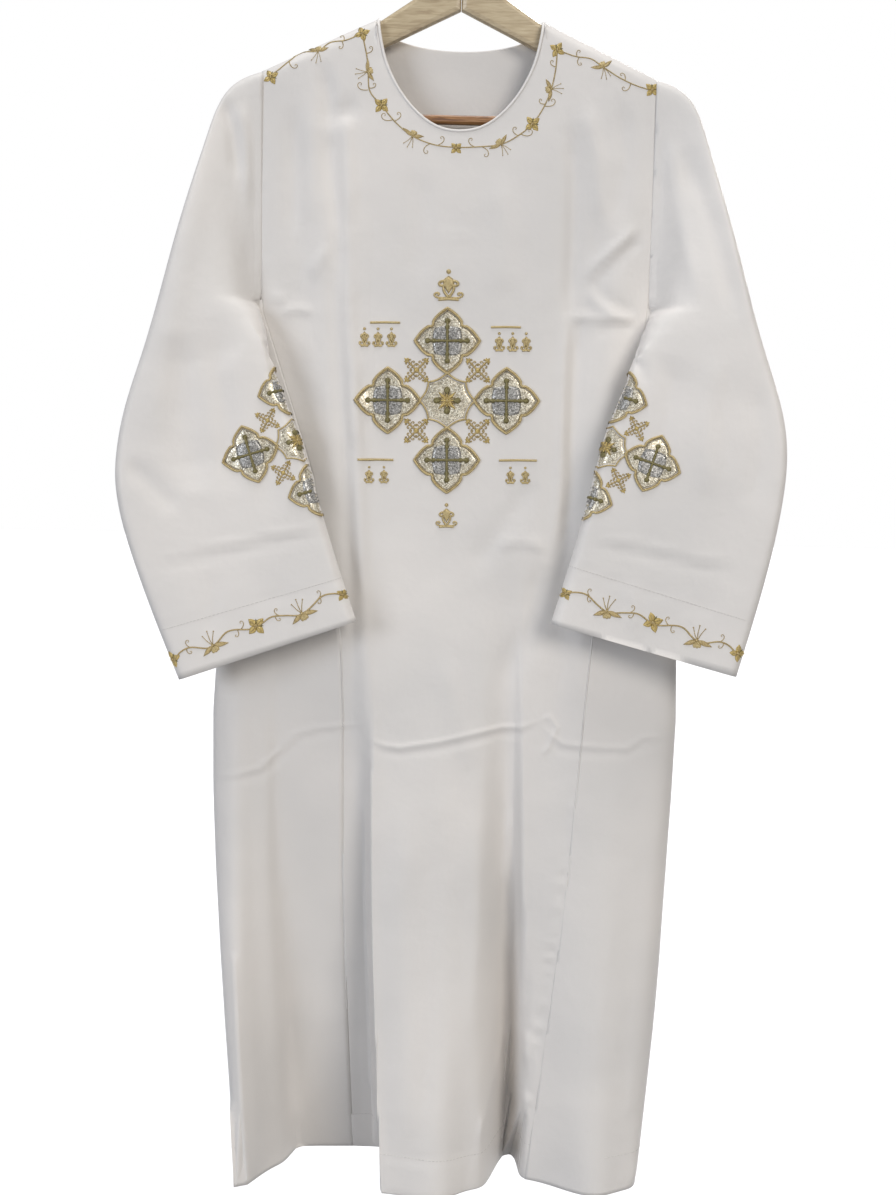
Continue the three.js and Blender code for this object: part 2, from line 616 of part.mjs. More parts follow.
function hangerArm() {
  const top = (x) => NECK_POINT_Z - ARM_REST - (x - NECK_HALF) * SHOULDER_SLOPE;
  const middle = NECK_POINT_Z + ARM_TOP;
  const under = (x) => NECK_POINT_Z + ARM_UNDER - 0.49 * x;
  const foot = NECK_POINT_Z - BAR_DROP - BAR_RADIUS - 4;
  const shape = new THREE.Shape();
  shape.moveTo(HALF_GAP, under(0));
  shape.lineTo(BAR_SEAT - 18, under(BAR_SEAT - 18));
  shape.quadraticCurveTo(BAR_SEAT, under(BAR_SEAT) + 2, BAR_SEAT, foot + 14);
  shape.lineTo(BAR_SEAT, foot);
  shape.lineTo(ARM_END - 8, foot);
  shape.quadraticCurveTo(ARM_END, foot, ARM_END, foot + 12);
  shape.lineTo(ARM_END, top(ARM_END) - 6);
  shape.quadraticCurveTo(ARM_END, top(ARM_END), ARM_END - 8, top(ARM_END - 8));
  shape.lineTo(NECK_HALF - 4, top(NECK_HALF - 4));
  shape.quadraticCurveTo(66, top(66) + 3, 48, NECK_POINT_Z + 21);
  shape.quadraticCurveTo(24, middle - 4, HALF_GAP, middle);
  const geometry = new THREE.ExtrudeGeometry(shape, {
    depth: ARM_THICK - 2 * ARM_ROUND,
    bevelThickness: ARM_ROUND,
    bevelSize: ARM_ROUND,
    bevelOffset: -ARM_ROUND,
    bevelSegments: 2,
    curveSegments: 4,
  });
  geometry.rotateX(Math.PI / 2);
  geometry.translate(0, ARM_THICK / 2 - ARM_ROUND, 0);
  return geometry;
}

// A question-mark hook: a straight stem and an open ring, its inner top at the origin.
function hangerHook() {
  const middle = HOOK_WIRE - HOOK_RADIUS;
  const foot = NECK_POINT_Z + ARM_TOP + 2 * HALF_GAP;
  const section = new THREE.Shape();
  section.absarc(0, 0, HOOK_WIRE, 0, 2 * Math.PI);
  const points = [foot, (foot + middle - HOOK_RADIUS) / 2].map((z) => new THREE.Vector3(0, 0, z));
  for (let angle = 0; angle <= HOOK_SWEEP; angle += 15) {
    const around = radians(angle - 90 + 8);
    const z = middle + HOOK_RADIUS * Math.sin(around);
    points.push(new THREE.Vector3(HOOK_RADIUS * Math.cos(around), 0, z));
  }
  return new THREE.ExtrudeGeometry(section, {
    steps: HOOK_STEPS,
    curveSegments: 4,
    extrudePath: new THREE.CatmullRomCurve3(points),
  });
}

// ---- The whole ----

const tunic = new THREE.Group();

function add(name, geometry, material) {
  const mesh = new THREE.Mesh(geometry, material);
  mesh.name = name;
  tunic.add(mesh);
  return mesh;
}

add("front_panel", bodyPanel(-1, NECK_FRONT, "frontLeft", "frontRight"), CLOTH_MATERIAL);
add("back_panel", bodyPanel(1, NECK_BACK, "backLeft", "backRight"), CLOTH_MATERIAL);
add("gore_left", gore("frontLeft", "backLeft", -1), CLOTH_MATERIAL);
add("gore_right", gore("frontRight", "backRight", 1), CLOTH_MATERIAL);
add("neck_binding", neckBinding(), BINDING_MATERIAL);

add("chest_medallion", chestPatch(medallionOutline(), 0, 0), PATCH_MATERIAL);
add("chest_diamond_top", chestPatch(diamondOutline(CHEST_DIAMOND), 0, -1), PATCH_MATERIAL);
add("chest_diamond_bottom", chestPatch(diamondOutline(CHEST_DIAMOND), 0, 1), PATCH_MATERIAL);
add("chest_diamond_left", chestPatch(diamondOutline(CHEST_DIAMOND), -1, 0), PATCH_MATERIAL);
add("chest_diamond_right", chestPatch(diamondOutline(CHEST_DIAMOND), 1, 0), PATCH_MATERIAL);

for (const [name, table, hand] of [["sleeve_left", SLEEVE_LEFT, -1], ["sleeve_right", SLEEVE_RIGHT, 1]]) {
  const grid = sleeveGrid(table, hand);
  add(name, wall(grid, CLOTH, true), CLOTH_MATERIAL);
  const shell = patchShell(grid);
  for (const row of SLEEVE_PATCHES) {
    const outline = row.name === "medallion" ? medallionOutline() : diamondOutline(SLEEVE_DIAMOND);
    add(name + "_" + row.name, sleevePatch(shell, hand, outline, row), PATCH_MATERIAL);
  }
}

add("hanger_arm_right", hangerArm(), WOOD_MATERIAL);
add("hanger_arm_left", hangerArm(), WOOD_MATERIAL).rotation.z = Math.PI;
const bar = add("hanger_bar", new THREE.CylinderGeometry(BAR_RADIUS, BAR_RADIUS, 1, 12), WOOD_MATERIAL);
bar.scale.y = 2 * (BAR_SEAT - 2 * HALF_GAP);
bar.rotation.z = Math.PI / 2;
bar.position.z = NECK_POINT_Z - BAR_DROP;
add("hanger_hook", hangerHook(), STEEL_MATERIAL);

export default tunic;
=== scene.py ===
# A deacon's white tunic with gold and silver embroidery, hanging on a wooden hanger.
# Measures are in millimetres up to the point where a shape is laid on the cloth. x is to the
# viewer's right, and a "drop" is a distance down from the neck points, as in the cut of the tunic.

from math import atan2, cos, degrees, dist, hypot, pi, radians, sin

import bmesh
import bpy
import numpy as np
from mathutils import Matrix, Vector
from mathutils.bvhtree import BVHTree
from mathutils.kdtree import KDTree


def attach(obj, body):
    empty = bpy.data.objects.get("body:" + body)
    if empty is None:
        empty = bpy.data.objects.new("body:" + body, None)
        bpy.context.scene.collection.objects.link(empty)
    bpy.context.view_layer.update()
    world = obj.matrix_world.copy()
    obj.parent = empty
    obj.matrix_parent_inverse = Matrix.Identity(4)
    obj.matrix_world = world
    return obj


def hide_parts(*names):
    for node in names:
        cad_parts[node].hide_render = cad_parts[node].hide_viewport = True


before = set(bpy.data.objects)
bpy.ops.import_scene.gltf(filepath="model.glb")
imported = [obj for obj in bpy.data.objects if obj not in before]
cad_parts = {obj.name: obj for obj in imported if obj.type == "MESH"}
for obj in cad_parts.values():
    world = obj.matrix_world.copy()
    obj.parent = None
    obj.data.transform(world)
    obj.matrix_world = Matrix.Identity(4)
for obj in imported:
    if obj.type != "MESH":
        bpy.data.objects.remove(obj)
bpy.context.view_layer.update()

NECK_POINT_Z = -124.0
HEM_DROP = 1200.0
HEM_TURNING = 39.0  # how deep the hem is turned up
FRONT, BACK = -1, 1
WALL_AND_A_BIT = 0.0026  # in metres: no strip along a cut edge is wider
CUT_EDGE = radians(62)  # a sharper turn than this is a cut edge of the cloth


def metres(x, y, drop):
    return Vector((x, y, NECK_POINT_Z - drop)) / 1000


def ramp(value, low, high):
    """0 below low, 1 above high, and a smooth slope between them."""
    share = np.clip((value - low) / (high - low), 0, 1)
    return share * share * (3 - 2 * share)


# ---- Materials ----


def linear(hex_colour):
    """An sRGB hex colour as linear red, green, blue and alpha."""
    parts = [int(hex_colour[i : i + 2], 16) / 255 for i in (1, 3, 5)]
    return [p / 12.92 if p <= 0.04045 else ((p + 0.055) / 1.055) ** 2.4 for p in parts] + [1.0]


def add(nodes, kind, inputs=None, settings=None, stops=()):
    """Adds a shader node. An input that is a socket is linked, and any other is set.
    The stops of a colour ramp are positions with sRGB hex colours."""
    node = nodes.new("ShaderNode" + kind)
    for name, value in (settings or {}).items():
        setattr(node, name, value)
    for name, value in (inputs or {}).items():
        if isinstance(value, bpy.types.NodeSocket):
            nodes.id_data.links.new(value, node.inputs[name])
        else:
            node.inputs[name].default_value = value
    for number, (position, colour) in enumerate(stops):
        marks = node.color_ramp.elements
        mark = marks[number] if number < 2 else marks.new(position)
        mark.position, mark.color = position, linear(colour)
    return node


def start_material(name):
    material = bpy.data.materials.new(name)
    material.use_nodes = True
    nodes = material.node_tree.nodes
    nodes.clear()
    place = add(nodes, "TexCoord").outputs["Object"]
    return material, nodes, place


def end_material(material, nodes, colour, roughness, bump, more=None):
    shader = add(nodes, "BsdfPrincipled", {
        "Base Color": colour.outputs[0], "Roughness": roughness, "Normal": bump.outputs[0],
        **(more or {})})
    add(nodes, "OutputMaterial", {"Surface": shader.outputs["BSDF"]})
    return material


def wave_scale(spacing):
    """The scale at which a wave texture's bands lie that far apart, in metres: it takes 20 times
    the place as its angle."""
    return 2 * pi / spacing / 20


def satin_cloth(name, light, shade):
    """Polyester and cotton satin, bleached white: a fine even weave with a low, wide gloss."""
    material, nodes, place = start_material(name)
    # The threads are 0.25 mm apart. They are drawn 0.6 mm apart, or they wouldn't show.
    threads = {"Vector": place, "Scale": wave_scale(0.0006), "Distortion": 0.6, "Detail Scale": 2.0}
    weft = add(nodes, "TexWave", threads, {"bands_direction": "Z"})
    warp = add(nodes, "TexWave", threads, {"bands_direction": "X"})
    weave = add(nodes, "Math", {0: weft.outputs["Fac"], 1: warp.outputs["Fac"]},
                {"operation": "MULTIPLY"})
    # Handling leaves the cloth softly uneven at 15 to 40 mm.
    uneven = add(nodes, "TexNoise", {
        "Vector": place, "Scale": 28.0, "Detail": 3.0, "Roughness": 0.5})
    tone = add(nodes, "TexNoise", {"Vector": place, "Scale": 6.0, "Detail": 2.0})
    colour = add(nodes, "ValToRGB", {"Fac": tone.outputs["Fac"]}, None, [(0.35, shade), (0.65, light)])
    soft = add(nodes, "Bump", {
        "Height": uneven.outputs["Fac"], "Distance": 0.004, "Strength": 0.32})
    fine = add(nodes, "Bump", {
        "Height": weave.outputs[0], "Distance": 0.0002, "Strength": 0.35, "Normal": soft.outputs[0]})
    gloss = add(nodes, "MapRange", {"Value": weave.outputs[0], "To Min": 0.5, "To Max": 0.62})
    return end_material(material, nodes, colour, gloss.outputs[0], fine, {
        "Specular IOR Level": 0.35, "Sheen Weight": 0.2, "Sheen Roughness": 0.45,
        "Sheen Tint": linear("#F4F3F8")})


def metallic_thread(name, colours, slant, spacing, roughness):
    """Foil-wrapped embroidery thread laid side by side: fine slanted ridges that glint unevenly."""
    material, nodes, place = start_material(name)
    slanted = add(nodes, "Mapping", {
        "Vector": place, "Rotation": (0.0, radians(slant), 0.0)})
    ridge = add(nodes, "TexWave", {
        "Vector": slanted.outputs[0], "Scale": wave_scale(spacing), "Distortion": 1.5,
        "Detail Scale": 3.0}, {"bands_direction": "X"})
    glint = add(nodes, "TexNoise", {"Vector": place, "Scale": 900.0, "Detail": 2.0})
    mixed = add(nodes, "Math", {0: ridge.outputs["Fac"], 1: 0.45, 2: glint.outputs["Fac"]},
                {"operation": "MULTIPLY_ADD"})
    colour = add(nodes, "ValToRGB", {"Fac": mixed.outputs[0]}, None, zip((0.3, 0.6, 0.95), colours))
    bump = add(nodes, "Bump", {"Height": ridge.outputs["Fac"], "Distance": 0.0003, "Strength": 0.7})
    rough = add(nodes, "MapRange", {
        "Value": glint.outputs["Fac"], "From Min": 0.3, "From Max": 0.7,
        "To Min": roughness - 0.12, "To Max": roughness + 0.12})
    return end_material(material, nodes, colour, rough.outputs[0], bump, {"Metallic": 0.55})


def glitter_cloth(name, colours):
    """Lurex fill: short metallic stitches that each catch the light on their own."""
    material, nodes, place = start_material(name)
    # Each stitch is about 0.9 mm long.
    grain = add(nodes, "TexVoronoi", {"Vector": place, "Scale": 1 / 0.0009},
                {"voronoi_dimensions": "3D"})
    each = add(nodes, "SeparateColor", {"Color": grain.outputs["Color"]})
    stops = zip((0.0, 0.35, 0.7, 1.0), colours)
    colour = add(nodes, "ValToRGB", {"Fac": each.outputs["Red"]}, None, stops)
    rough = add(nodes, "MapRange", {"Value": each.outputs["Green"], "To Min": 0.22, "To Max": 0.6})
    bump = add(nodes, "Bump", {"Height": each.outputs["Blue"], "Distance": 0.0004, "Strength": 0.8})
    return end_material(material, nodes, colour, rough.outputs[0], bump, {"Metallic": 0.6})


def sewing_thread(name, light, shade):
    """Matt spun polyester sewing thread. Its colour is painted shade, a little darker than the cloth,
    for the shadow where it sinks in.
    """
    material, nodes, place = start_material(name)
    tone = add(nodes, "TexNoise", {"Vector": place, "Scale": 400.0, "Detail": 2.0})
    colour = add(nodes, "ValToRGB", {"Fac": tone.outputs["Fac"]}, None, [(0.3, shade), (0.7, light)])
    bump = add(nodes, "Bump", {"Height": tone.outputs["Fac"], "Distance": 0.0002, "Strength": 0.4})
    return end_material(material, nodes, colour, 0.75, bump)


def varnished_wood(name, colours, slope, coat):
    """Beech or ramin, turned or milled, under clear varnish: close long grain with dark flecks."""
    material, nodes, place = start_material(name)
    # The grain runs along the piece, so the pattern is stretched eight times that way.
    lengthwise = add(nodes, "Mapping", {
        "Vector": place, "Rotation": (0.0, radians(slope), 0.0), "Scale": (9.0, 90.0, 110.0)})
    grain = add(nodes, "TexNoise", {
        "Vector": lengthwise.outputs[0], "Scale": 3.0, "Detail": 6.0, "Distortion": 0.8})
    fleck = add(nodes, "TexNoise", {"Vector": lengthwise.outputs[0], "Scale": 11.0, "Detail": 2.0})
    mixed = add(nodes, "Math", {0: fleck.outputs["Fac"], 1: 0.35, 2: grain.outputs["Fac"]},
                {"operation": "MULTIPLY_ADD"})
    colour = add(nodes, "ValToRGB", {"Fac": mixed.outputs[0]}, None, zip((0.45, 0.66, 0.9), colours))
    bump = add(nodes, "Bump", {"Height": mixed.outputs[0], "Distance": 0.0004, "Strength": 0.25})
    rough = add(nodes, "MapRange", {"Value": fleck.outputs["Fac"], "To Min": 0.32, "To Max": 0.5})
    return end_material(material, nodes, colour, rough.outputs[0], bump, {
        "Coat Weight": coat, "Coat Roughness": 0.2})


def plated_wire(name):
    """Nickel-plated steel wire, drawn: bright, with faint marks and small handling scuffs."""
    material, nodes, place = start_material(name)
    scuff = add(nodes, "TexNoise", {"Vector": place, "Scale": 260.0, "Detail": 4.0})
    stops = [(0.35, "#9C9FA3"), (0.6, "#C9CBCD")]
    colour = add(nodes, "ValToRGB", {"Fac": scuff.outputs["Fac"]}, None, stops)
    rough = add(nodes, "MapRange", {"Value": scuff.outputs["Fac"], "To Min": 0.16, "To Max": 0.42})
    bump = add(nodes, "Bump", {"Height": scuff.outputs["Fac"], "Distance": 0.0001, "Strength": 0.2})
    return end_material(material, nodes, colour, rough.outputs[0], bump, {"Metallic": 1.0})


def matt_paint(name, light, shade):
    """Rolled matt white paint: almost even, with a slight roller texture."""
    material, nodes, place = start_material(name)
    roller = add(nodes, "TexNoise", {"Vector": place, "Scale": 60.0, "Detail": 3.0})
    stops = [(0.3, shade), (0.7, light)]
    colour = add(nodes, "ValToRGB", {"Fac": roller.outputs["Fac"]}, None, stops)
    bump = add(nodes, "Bump", {"Height": roller.outputs["Fac"], "Distance": 0.0005, "Strength": 0.1})
    return end_material(material, nodes, colour, 0.9, bump)


WHITE_SATIN = satin_cloth("white_satin_weave", "#DCD7D1", "#D3CFCA")
BINDING_SATIN = satin_cloth("white_satin_binding", "#E2DDD7", "#D9D5D0")
# Columns: name, colours from shade to light, slant in degrees, spacing in metres, roughness
GOLD_THREAD = metallic_thread("gold_foil_thread", ("#625230", "#937D50", "#BCAB80"), 35, 0.0009, 0.42)
OUTLINE_THREAD = metallic_thread(
    "pale_gold_satin_stitch", ("#715F38", "#A28C5C", "#C8B98E"), -50, 0.0011, 0.45)
PETAL_THREAD = metallic_thread(
    "bright_gold_petal_thread", ("#705D2C", "#A38B4C", "#C8B47A"), 60, 0.0008, 0.4)
BRONZE_THREAD = metallic_thread(
    "dark_bronze_thread", ("#3F3A20", "#635B38", "#8B8258"), 20, 0.0009, 0.45)
SILVER_FILL = glitter_cloth("pale_silver_lurex", ("#8D8472", "#B7AE98", "#D6CEBA", "#F3F0E1"))
BLUE_FILL = glitter_cloth("blue_grey_lurex", ("#62615D", "#868480", "#A5A39E", "#D0CEC9"))
# The stitches' colour is painted shade, darker than the white cloth, for the shadow where they sink in.
STITCH_THREAD_PAINTED_SHADE = sewing_thread("sewing_thread_painted_shade", "#D2CDC8", "#B5B0AC")
PALE_BEECH = ("#A08C6E", "#B8A686", "#C8B898")
BEECH_LEFT = varnished_wood("clear_varnished_beech", PALE_BEECH, -25, 0.25)
BEECH_RIGHT = varnished_wood("clear_varnished_beech_other_arm", PALE_BEECH, 25, 0.25)
BAR_BEECH = varnished_wood("warm_varnished_bar", ("#6A4526", "#94683F", "#B88D60"), 0, 0.4)
NICKEL_WIRE = plated_wire("nickel_plated_wire")
PAINTED_FLOOR = matt_paint("matt_white_paint", "#F7F7F8", "#F2F2F4")


# ---- Cloth ----

# Creases, each a soft ridge (height above 0) or trough along a line of places (x, drop).
# Columns: places, width, height
PACKED_FOLDS = [
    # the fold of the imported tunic, a sharp ridge over a soft trough
    ([(-242, 774), (-211, 768), (-188, 762), (-165, 739),
      (-152, 726), (-133, 720), (-109, 716), (-82, 713)], 2.5, 1.1),
    ([(-242, 781), (-207, 775), (-184, 769), (-160, 746),
      (-148, 733), (-131, 727), (-109, 723), (-82, 720)], 4.4, -0.8),
    ([(-78, 727), (-62, 733), (-46, 735), (-5, 728),
      (26, 720), (56, 714), (77, 713), (97, 705)], 2.4, 1.3),
    ([(-78, 734), (-62, 740), (-46, 742), (-5, 735),
      (26, 727), (56, 721), (77, 720), (92, 714)], 4.2, -0.95),
    ([(96, 707), (111, 722), (121, 728), (160, 731), (186, 732), (201, 721), (236, 720)], 2.5, 1.0),
    ([(103, 724), (118, 735), (160, 738), (186, 739), (205, 729), (236, 727)], 4.4, -0.75),
    ([(98, 705), (107, 701), (114, 712), (107, 731), (98, 743)], 2.8, 1.1),
]
FRONT_CREASES = PACKED_FOLDS + [
    # drapes from the shoulders and the neck
    ([(-139, 42), (-132, 79), (-130, 101), (-115, 95), (-98, 88)], 8, -4.4),
    ([(-132, 99), (-127, 153), (-118, 213), (-111, 282)], 9, -4.6),
    ([(-115, 93), (-110, 143), (-106, 212)], 7, 2.8),
    ([(-167, 88), (-164, 154), (-166, 224)], 10, -3.0),
    ([(-150, 84), (-147, 150), (-148, 210)], 8, 1.8),
    ([(112, 98), (118, 158), (118, 237), (116, 307)], 8, -4.0),
    ([(127, 83), (140, 137), (145, 207)], 9, 3.2),
    ([(164, 76), (168, 140), (160, 210)], 10, -2.6),
    ([(-40, 150), (-34, 210), (-36, 270)], 15, -1.8),
    ([(40, 150), (48, 220), (44, 280)], 15, 1.8),
    # the long folds that the packing left, on both sides of the cross
    ([(-116, 153), (-110, 232), (-104, 322), (-97, 413), (-88, 546), (-80, 691)], 7, 3.0),
    ([(-126, 200), (-121, 280), (-115, 360), (-108, 440), (-99, 560), (-92, 690)], 8, -3.2),
    ([(113, 277), (112, 358), (112, 460), (106, 542)], 7, 2.8),
    ([(124, 290), (123, 360), (123, 460), (117, 540)], 8, -3.0),
    ([(-57, 220), (-16, 218), (24, 218)], 3.5, 0.8),
    # pulls at the underarms and round the cross
    ([(127, 260), (146, 239), (166, 220), (184, 203)], 4.5, 3.0),
    ([(137, 263), (155, 246), (174, 227), (188, 213)], 5.5, -2.4),
    ([(130, 264), (146, 283), (163, 294), (184, 298)], 5, 2.4),
    ([(138, 262), (153, 276), (170, 285), (186, 287)], 5.5, -1.6),
    ([(115, 296), (138, 295), (168, 297)], 4.5, 2.0),
    ([(142, 309), (160, 304), (184, 304)], 4.5, -1.8),
    ([(-192, 283), (-181, 281), (-170, 285)], 4, 2.0),
    ([(-176, 297), (-159, 293), (-142, 296)], 4.5, 2.2),
    ([(-145, 261), (-139, 245), (-128, 233)], 5, 2.2),
    ([(47, 529), (72, 522), (100, 530)], 4.5, 1.9),
    ([(-96, 334), (-100, 384), (-94, 440)], 10, 1.6),
    ([(90, 460), (54, 506), (22, 556)], 11, -1.6),
    ([(93, 541), (84, 603), (55, 675)], 12, -2.6),
    ([(-6, 640), (12, 700), (30, 760)], 13, 1.8),
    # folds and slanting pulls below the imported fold
    ([(71, 795), (68, 852), (66, 888)], 5, 2.4),
    ([(86, 866), (86, 899), (79, 946)], 5, -2.4),
    ([(90, 950), (90, 1042), (86, 1150)], 7, -3.2),
    ([(44, 1156), (60, 1092), (82, 1034)], 5, 2.2),
    ([(96, 1045), (114, 1099), (132, 1118), (174, 1125)], 5, 2.2),
    ([(64, 1010), (87, 1067), (98, 1112)], 5, -1.8),
    ([(-34, 770), (-42, 900), (-34, 1060), (-38, 1190)], 15, 2.6),
    ([(-12, 800), (-6, 960), (-12, 1160)], 14, -2.2),
    ([(28, 790), (36, 920), (28, 1080)], 14, 2.2),
    ([(130, 770), (140, 880), (126, 1010)], 12, -2.0),
]
BACK_CREASES = [
    ([(-240, 746), (-150, 730), (-60, 740), (30, 722), (120, 735), (240, 728)], 5, 1.1),
    ([(-240, 758), (-150, 742), (-60, 752), (30, 734), (120, 747), (240, 740)], 9, -0.9),
    ([(-120, 44), (-128, 130), (-108, 260)], 14, -3.6),
    ([(110, 42), (120, 140), (104, 250)], 14, -3.4),
    ([(-60, 60), (-48, 180), (-54, 300)], 16, -2.0),
    ([(52, 58), (60, 190), (50, 320)], 16, 2.0),
    ([(0, 60), (6, 220), (-4, 400)], 18, 1.6),
    ([(-150, 300), (-120, 420), (-130, 560)], 16, -2.2),
    ([(140, 300), (116, 430), (128, 580)], 16, -2.0),
    ([(-20, 480), (-34, 600), (-26, 700)], 15, 1.8),
    ([(40, 780), (52, 920), (44, 1080)], 16, -2.0),
    ([(-90, 790), (-76, 900), (-84, 1050)], 16, 1.8),
]
# The sleeves, with x as a distance from the middle of the tunic
SLEEVE_CREASES = {
    -1: [
        ([(298, 549), (237, 536), (178, 522), (120, 509)], 2.8, 1.6),
        ([(298, 556), (237, 543), (178, 529), (120, 516)], 5, -1.4),
        ([(238, 83), (227, 117), (221, 170)], 7, -3.4),
        ([(222, 86), (212, 130), (208, 200)], 7, 2.6),
        ([(256, 110), (262, 200), (276, 292), (289, 371), (296, 440)], 14, 2.8),
        ([(245, 300), (225, 400), (214, 487)], 13, -3.4),
        ([(272, 320), (266, 400), (250, 486)], 24, -5.5),
        ([(206, 220), (204, 280), (192, 340)], 8, -2.4),
        ([(176, 380), (184, 440), (176, 500)], 11, -1.8),
        ([(322, 450), (294, 476), (266, 500)], 10, -2.2),
        ([(236, 560), (232, 590), (240, 626)], 9, -1.0),
    ],
    1: [
        ([(297, 544), (239, 533), (189, 523), (140, 516)], 2.8, 1.5),
        ([(297, 551), (239, 540), (189, 530), (140, 523)], 5, -1.3),
        ([(226, 120), (257, 209), (281, 307)], 11, -3.2),
        ([(212, 110), (222, 190), (240, 280)], 9, 2.8),
        ([(200, 270), (197, 320), (185, 366)], 7, -2.8),
        ([(262, 320), (250, 400), (254, 480)], 13, 2.6),
        ([(222, 330), (212, 400), (204, 470)], 12, -2.2),
        ([(300, 360), (306, 420), (300, 490)], 12, -2.0),
        ([(180, 560), (186, 584), (180, 610)], 8, 1.2),
    ],
}


def from_table(drop, table):
    """The value at each drop, between the rows (drop, value) of a table."""
    drops, values = zip(*table)
    return np.interp(drop, drops, values)


def along_line(places, x, drop):
    """How far each vertex is from a line of places, and its share of the way along it."""
    nearest = np.full(len(x), 1e9)
    share = np.zeros(len(x))
    count = len(places) - 1
    for i, ((ax, ad), (bx, bd)) in enumerate(zip(places, places[1:])):
        length = (bx - ax) ** 2 + (bd - ad) ** 2
        t = np.clip(((x - ax) * (bx - ax) + (drop - ad) * (bd - ad)) / length, 0, 1)
        away = np.hypot(x - ax - t * (bx - ax), drop - ad - t * (bd - ad))
        closer = away < nearest
        nearest = np.where(closer, away, nearest)
        share = np.where(closer, (i + t) / count, share)
    return nearest, share


def crease_height(creases, x, drop):
    """How far the creases lift each vertex: they fade out at their ends."""
    total = np.zeros(len(x))
    for places, width, height in creases:
        away, share = along_line(places, x, drop)
        fade = np.clip(np.minimum(share, 1 - share) * 5, 0.12, 1)
        total += height * fade * np.exp(-((away / width) ** 2))
    return total


def rumple(x, drop, seed):
    """Low uneven waves, from a few sines that never line up."""
    total = np.zeros(len(x))
    for k in range(6):
        turn = 1.7 * k + seed
        long = (cos(turn) * x + sin(turn) * drop * 0.6) / (34 - 3.3 * k)
        total += np.sin(long + 2.1 * k + seed) / 6
    return total


def mesh_from(bm, name):
    mesh = bpy.data.meshes.new(name)
    bm.to_mesh(mesh)
    bm.free()
    return mesh


def baked(thing):
    """The mesh that a curve or a piece with its modifiers makes."""
    graph = bpy.context.evaluated_depsgraph_get()
    return bpy.data.meshes.new_from_object(thing.evaluated_get(graph), depsgraph=graph)


def quads_of(node):
    """A copy of a node's mesh, with its doubles merged and its triangles in pairs."""
    bm = bmesh.new()
    bm.from_mesh(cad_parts[node].data)
    bmesh.ops.remove_doubles(bm, verts=bm.verts, dist=2e-6)
    bmesh.ops.recalc_face_normals(bm, faces=bm.faces)
    bmesh.ops.join_triangles(bm, faces=bm.faces, angle_face_threshold=radians(45),
                             angle_shape_threshold=radians(80))
    return bm


def new_object(name, data):
    thing = bpy.data.objects.new(name, data)
    bpy.context.scene.collection.objects.link(thing)
    return thing


def new_piece(name, mesh, materials):
    piece = new_object(name, mesh)
    for material in materials:
        piece.data.materials.append(material)
    return piece


def close_seams(bm, reach):
    """Lets each cut edge reach a little past its seam, so that neighbours meet."""
    strips = [f for f in bm.faces if sum(e.calc_face_angle(0.0) > CUT_EDGE for e in f.edges) >= 2
              and min(e.calc_length() for e in f.edges) < WALL_AND_A_BIT]
    moves = {}
    for strip in strips:
        for vert in strip.verts:
            moves[vert] = moves.get(vert, Vector((0, 0, 0))) + strip.normal
    for vert, move in moves.items():
        if move.length > 0.5:
            vert.co += move.normalized() * reach / 1000


def finer_copy(node, name, levels, material, reach=0.0, rows=()):
    """A node's cloth as a smooth shell: its cut edges stay sharp, and all else is rounded.
    The rows are the drops at which its long faces are cut, so that it can crease."""
    bm = quads_of(node)
    for drop in rows:
        everything = bm.verts[:] + bm.edges[:] + bm.faces[:]
        bmesh.ops.bisect_plane(bm, geom=everything, dist=0.002, plane_co=metres(0, 0, drop),
                               plane_no=(0, 0, 1))
    close_seams(bm, reach)
    sharp = bm.edges.layers.float.new("crease_edge")
    for edge in bm.edges:
        if edge.calc_face_angle(0.0) > CUT_EDGE:
            edge[sharp] = 1.0
    piece = new_piece(name, mesh_from(bm, name), [])
    rounding = piece.modifiers.new("rounding", "SUBSURF")
    rounding.levels = rounding.render_levels = levels
    smooth_mesh = baked(piece)
    piece.modifiers.clear()
    piece.data = smooth_mesh
    smooth_mesh.name = name
    smooth_mesh.materials.clear()
    smooth_mesh.materials.append(material)
    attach(piece, "root")
    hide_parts(node)
    return piece


def places_of(mesh):
    """Each vertex's x, y and drop."""
    flat = np.zeros(len(mesh.vertices) * 3)
    mesh.vertices.foreach_get("co", flat)
    points = flat.reshape(-1, 3) * 1000
    return points[:, 0].copy(), points[:, 1].copy(), NECK_POINT_Z - points[:, 2]


def put_back(mesh, x, y, drop):
    points = np.stack([x, y, NECK_POINT_Z - drop], 1) / 1000
    mesh.vertices.foreach_set("co", points.ravel())
    mesh.shade_smooth()
    mesh.update()


def from_cut_edges(mesh):
    """How far each vertex is from the cloth's cut edges, in millimetres."""
    bm = bmesh.new()
    bm.from_mesh(mesh)
    cut = {vert for edge in bm.edges if edge.calc_face_angle(0.0) > CUT_EDGE for vert in edge.verts}
    tree = KDTree(len(cut))
    for number, vert in enumerate(cut):
        tree.insert(vert.co, number)
    tree.balance()
    away = np.array([tree.find(vert.co)[2] for vert in bm.verts]) * 1000
    bm.free()
    return away


def neck_sag(x, y, drop):
    """The front's neckline hangs a few millimetres lower than its cut, most in the middle."""
    share = (1 - ramp(np.abs(x - 2), 16, 76)) * (1 - ramp(drop, 107, 124)) * (y < 0)
    return drop + 6.0 * share


def hem_line(x):
    """The drop of the turned-up hem's top edge, which isn't quite level."""
    return HEM_DROP - HEM_TURNING + 2.0 * np.sin(x / 31)


# Columns: drop, x
RIGHT_SIDE_SEAM = ((294, 197), (630, 155), (737, 144), (890, 125), (1018, 106), (1200, 84))
SIDE_OF_BODY = ((0, 200), (320, 212), (1200, 168))
# Columns: drop, y of the gore's middle
GORE_MIDDLE = ((294, 0), (1200, 28))


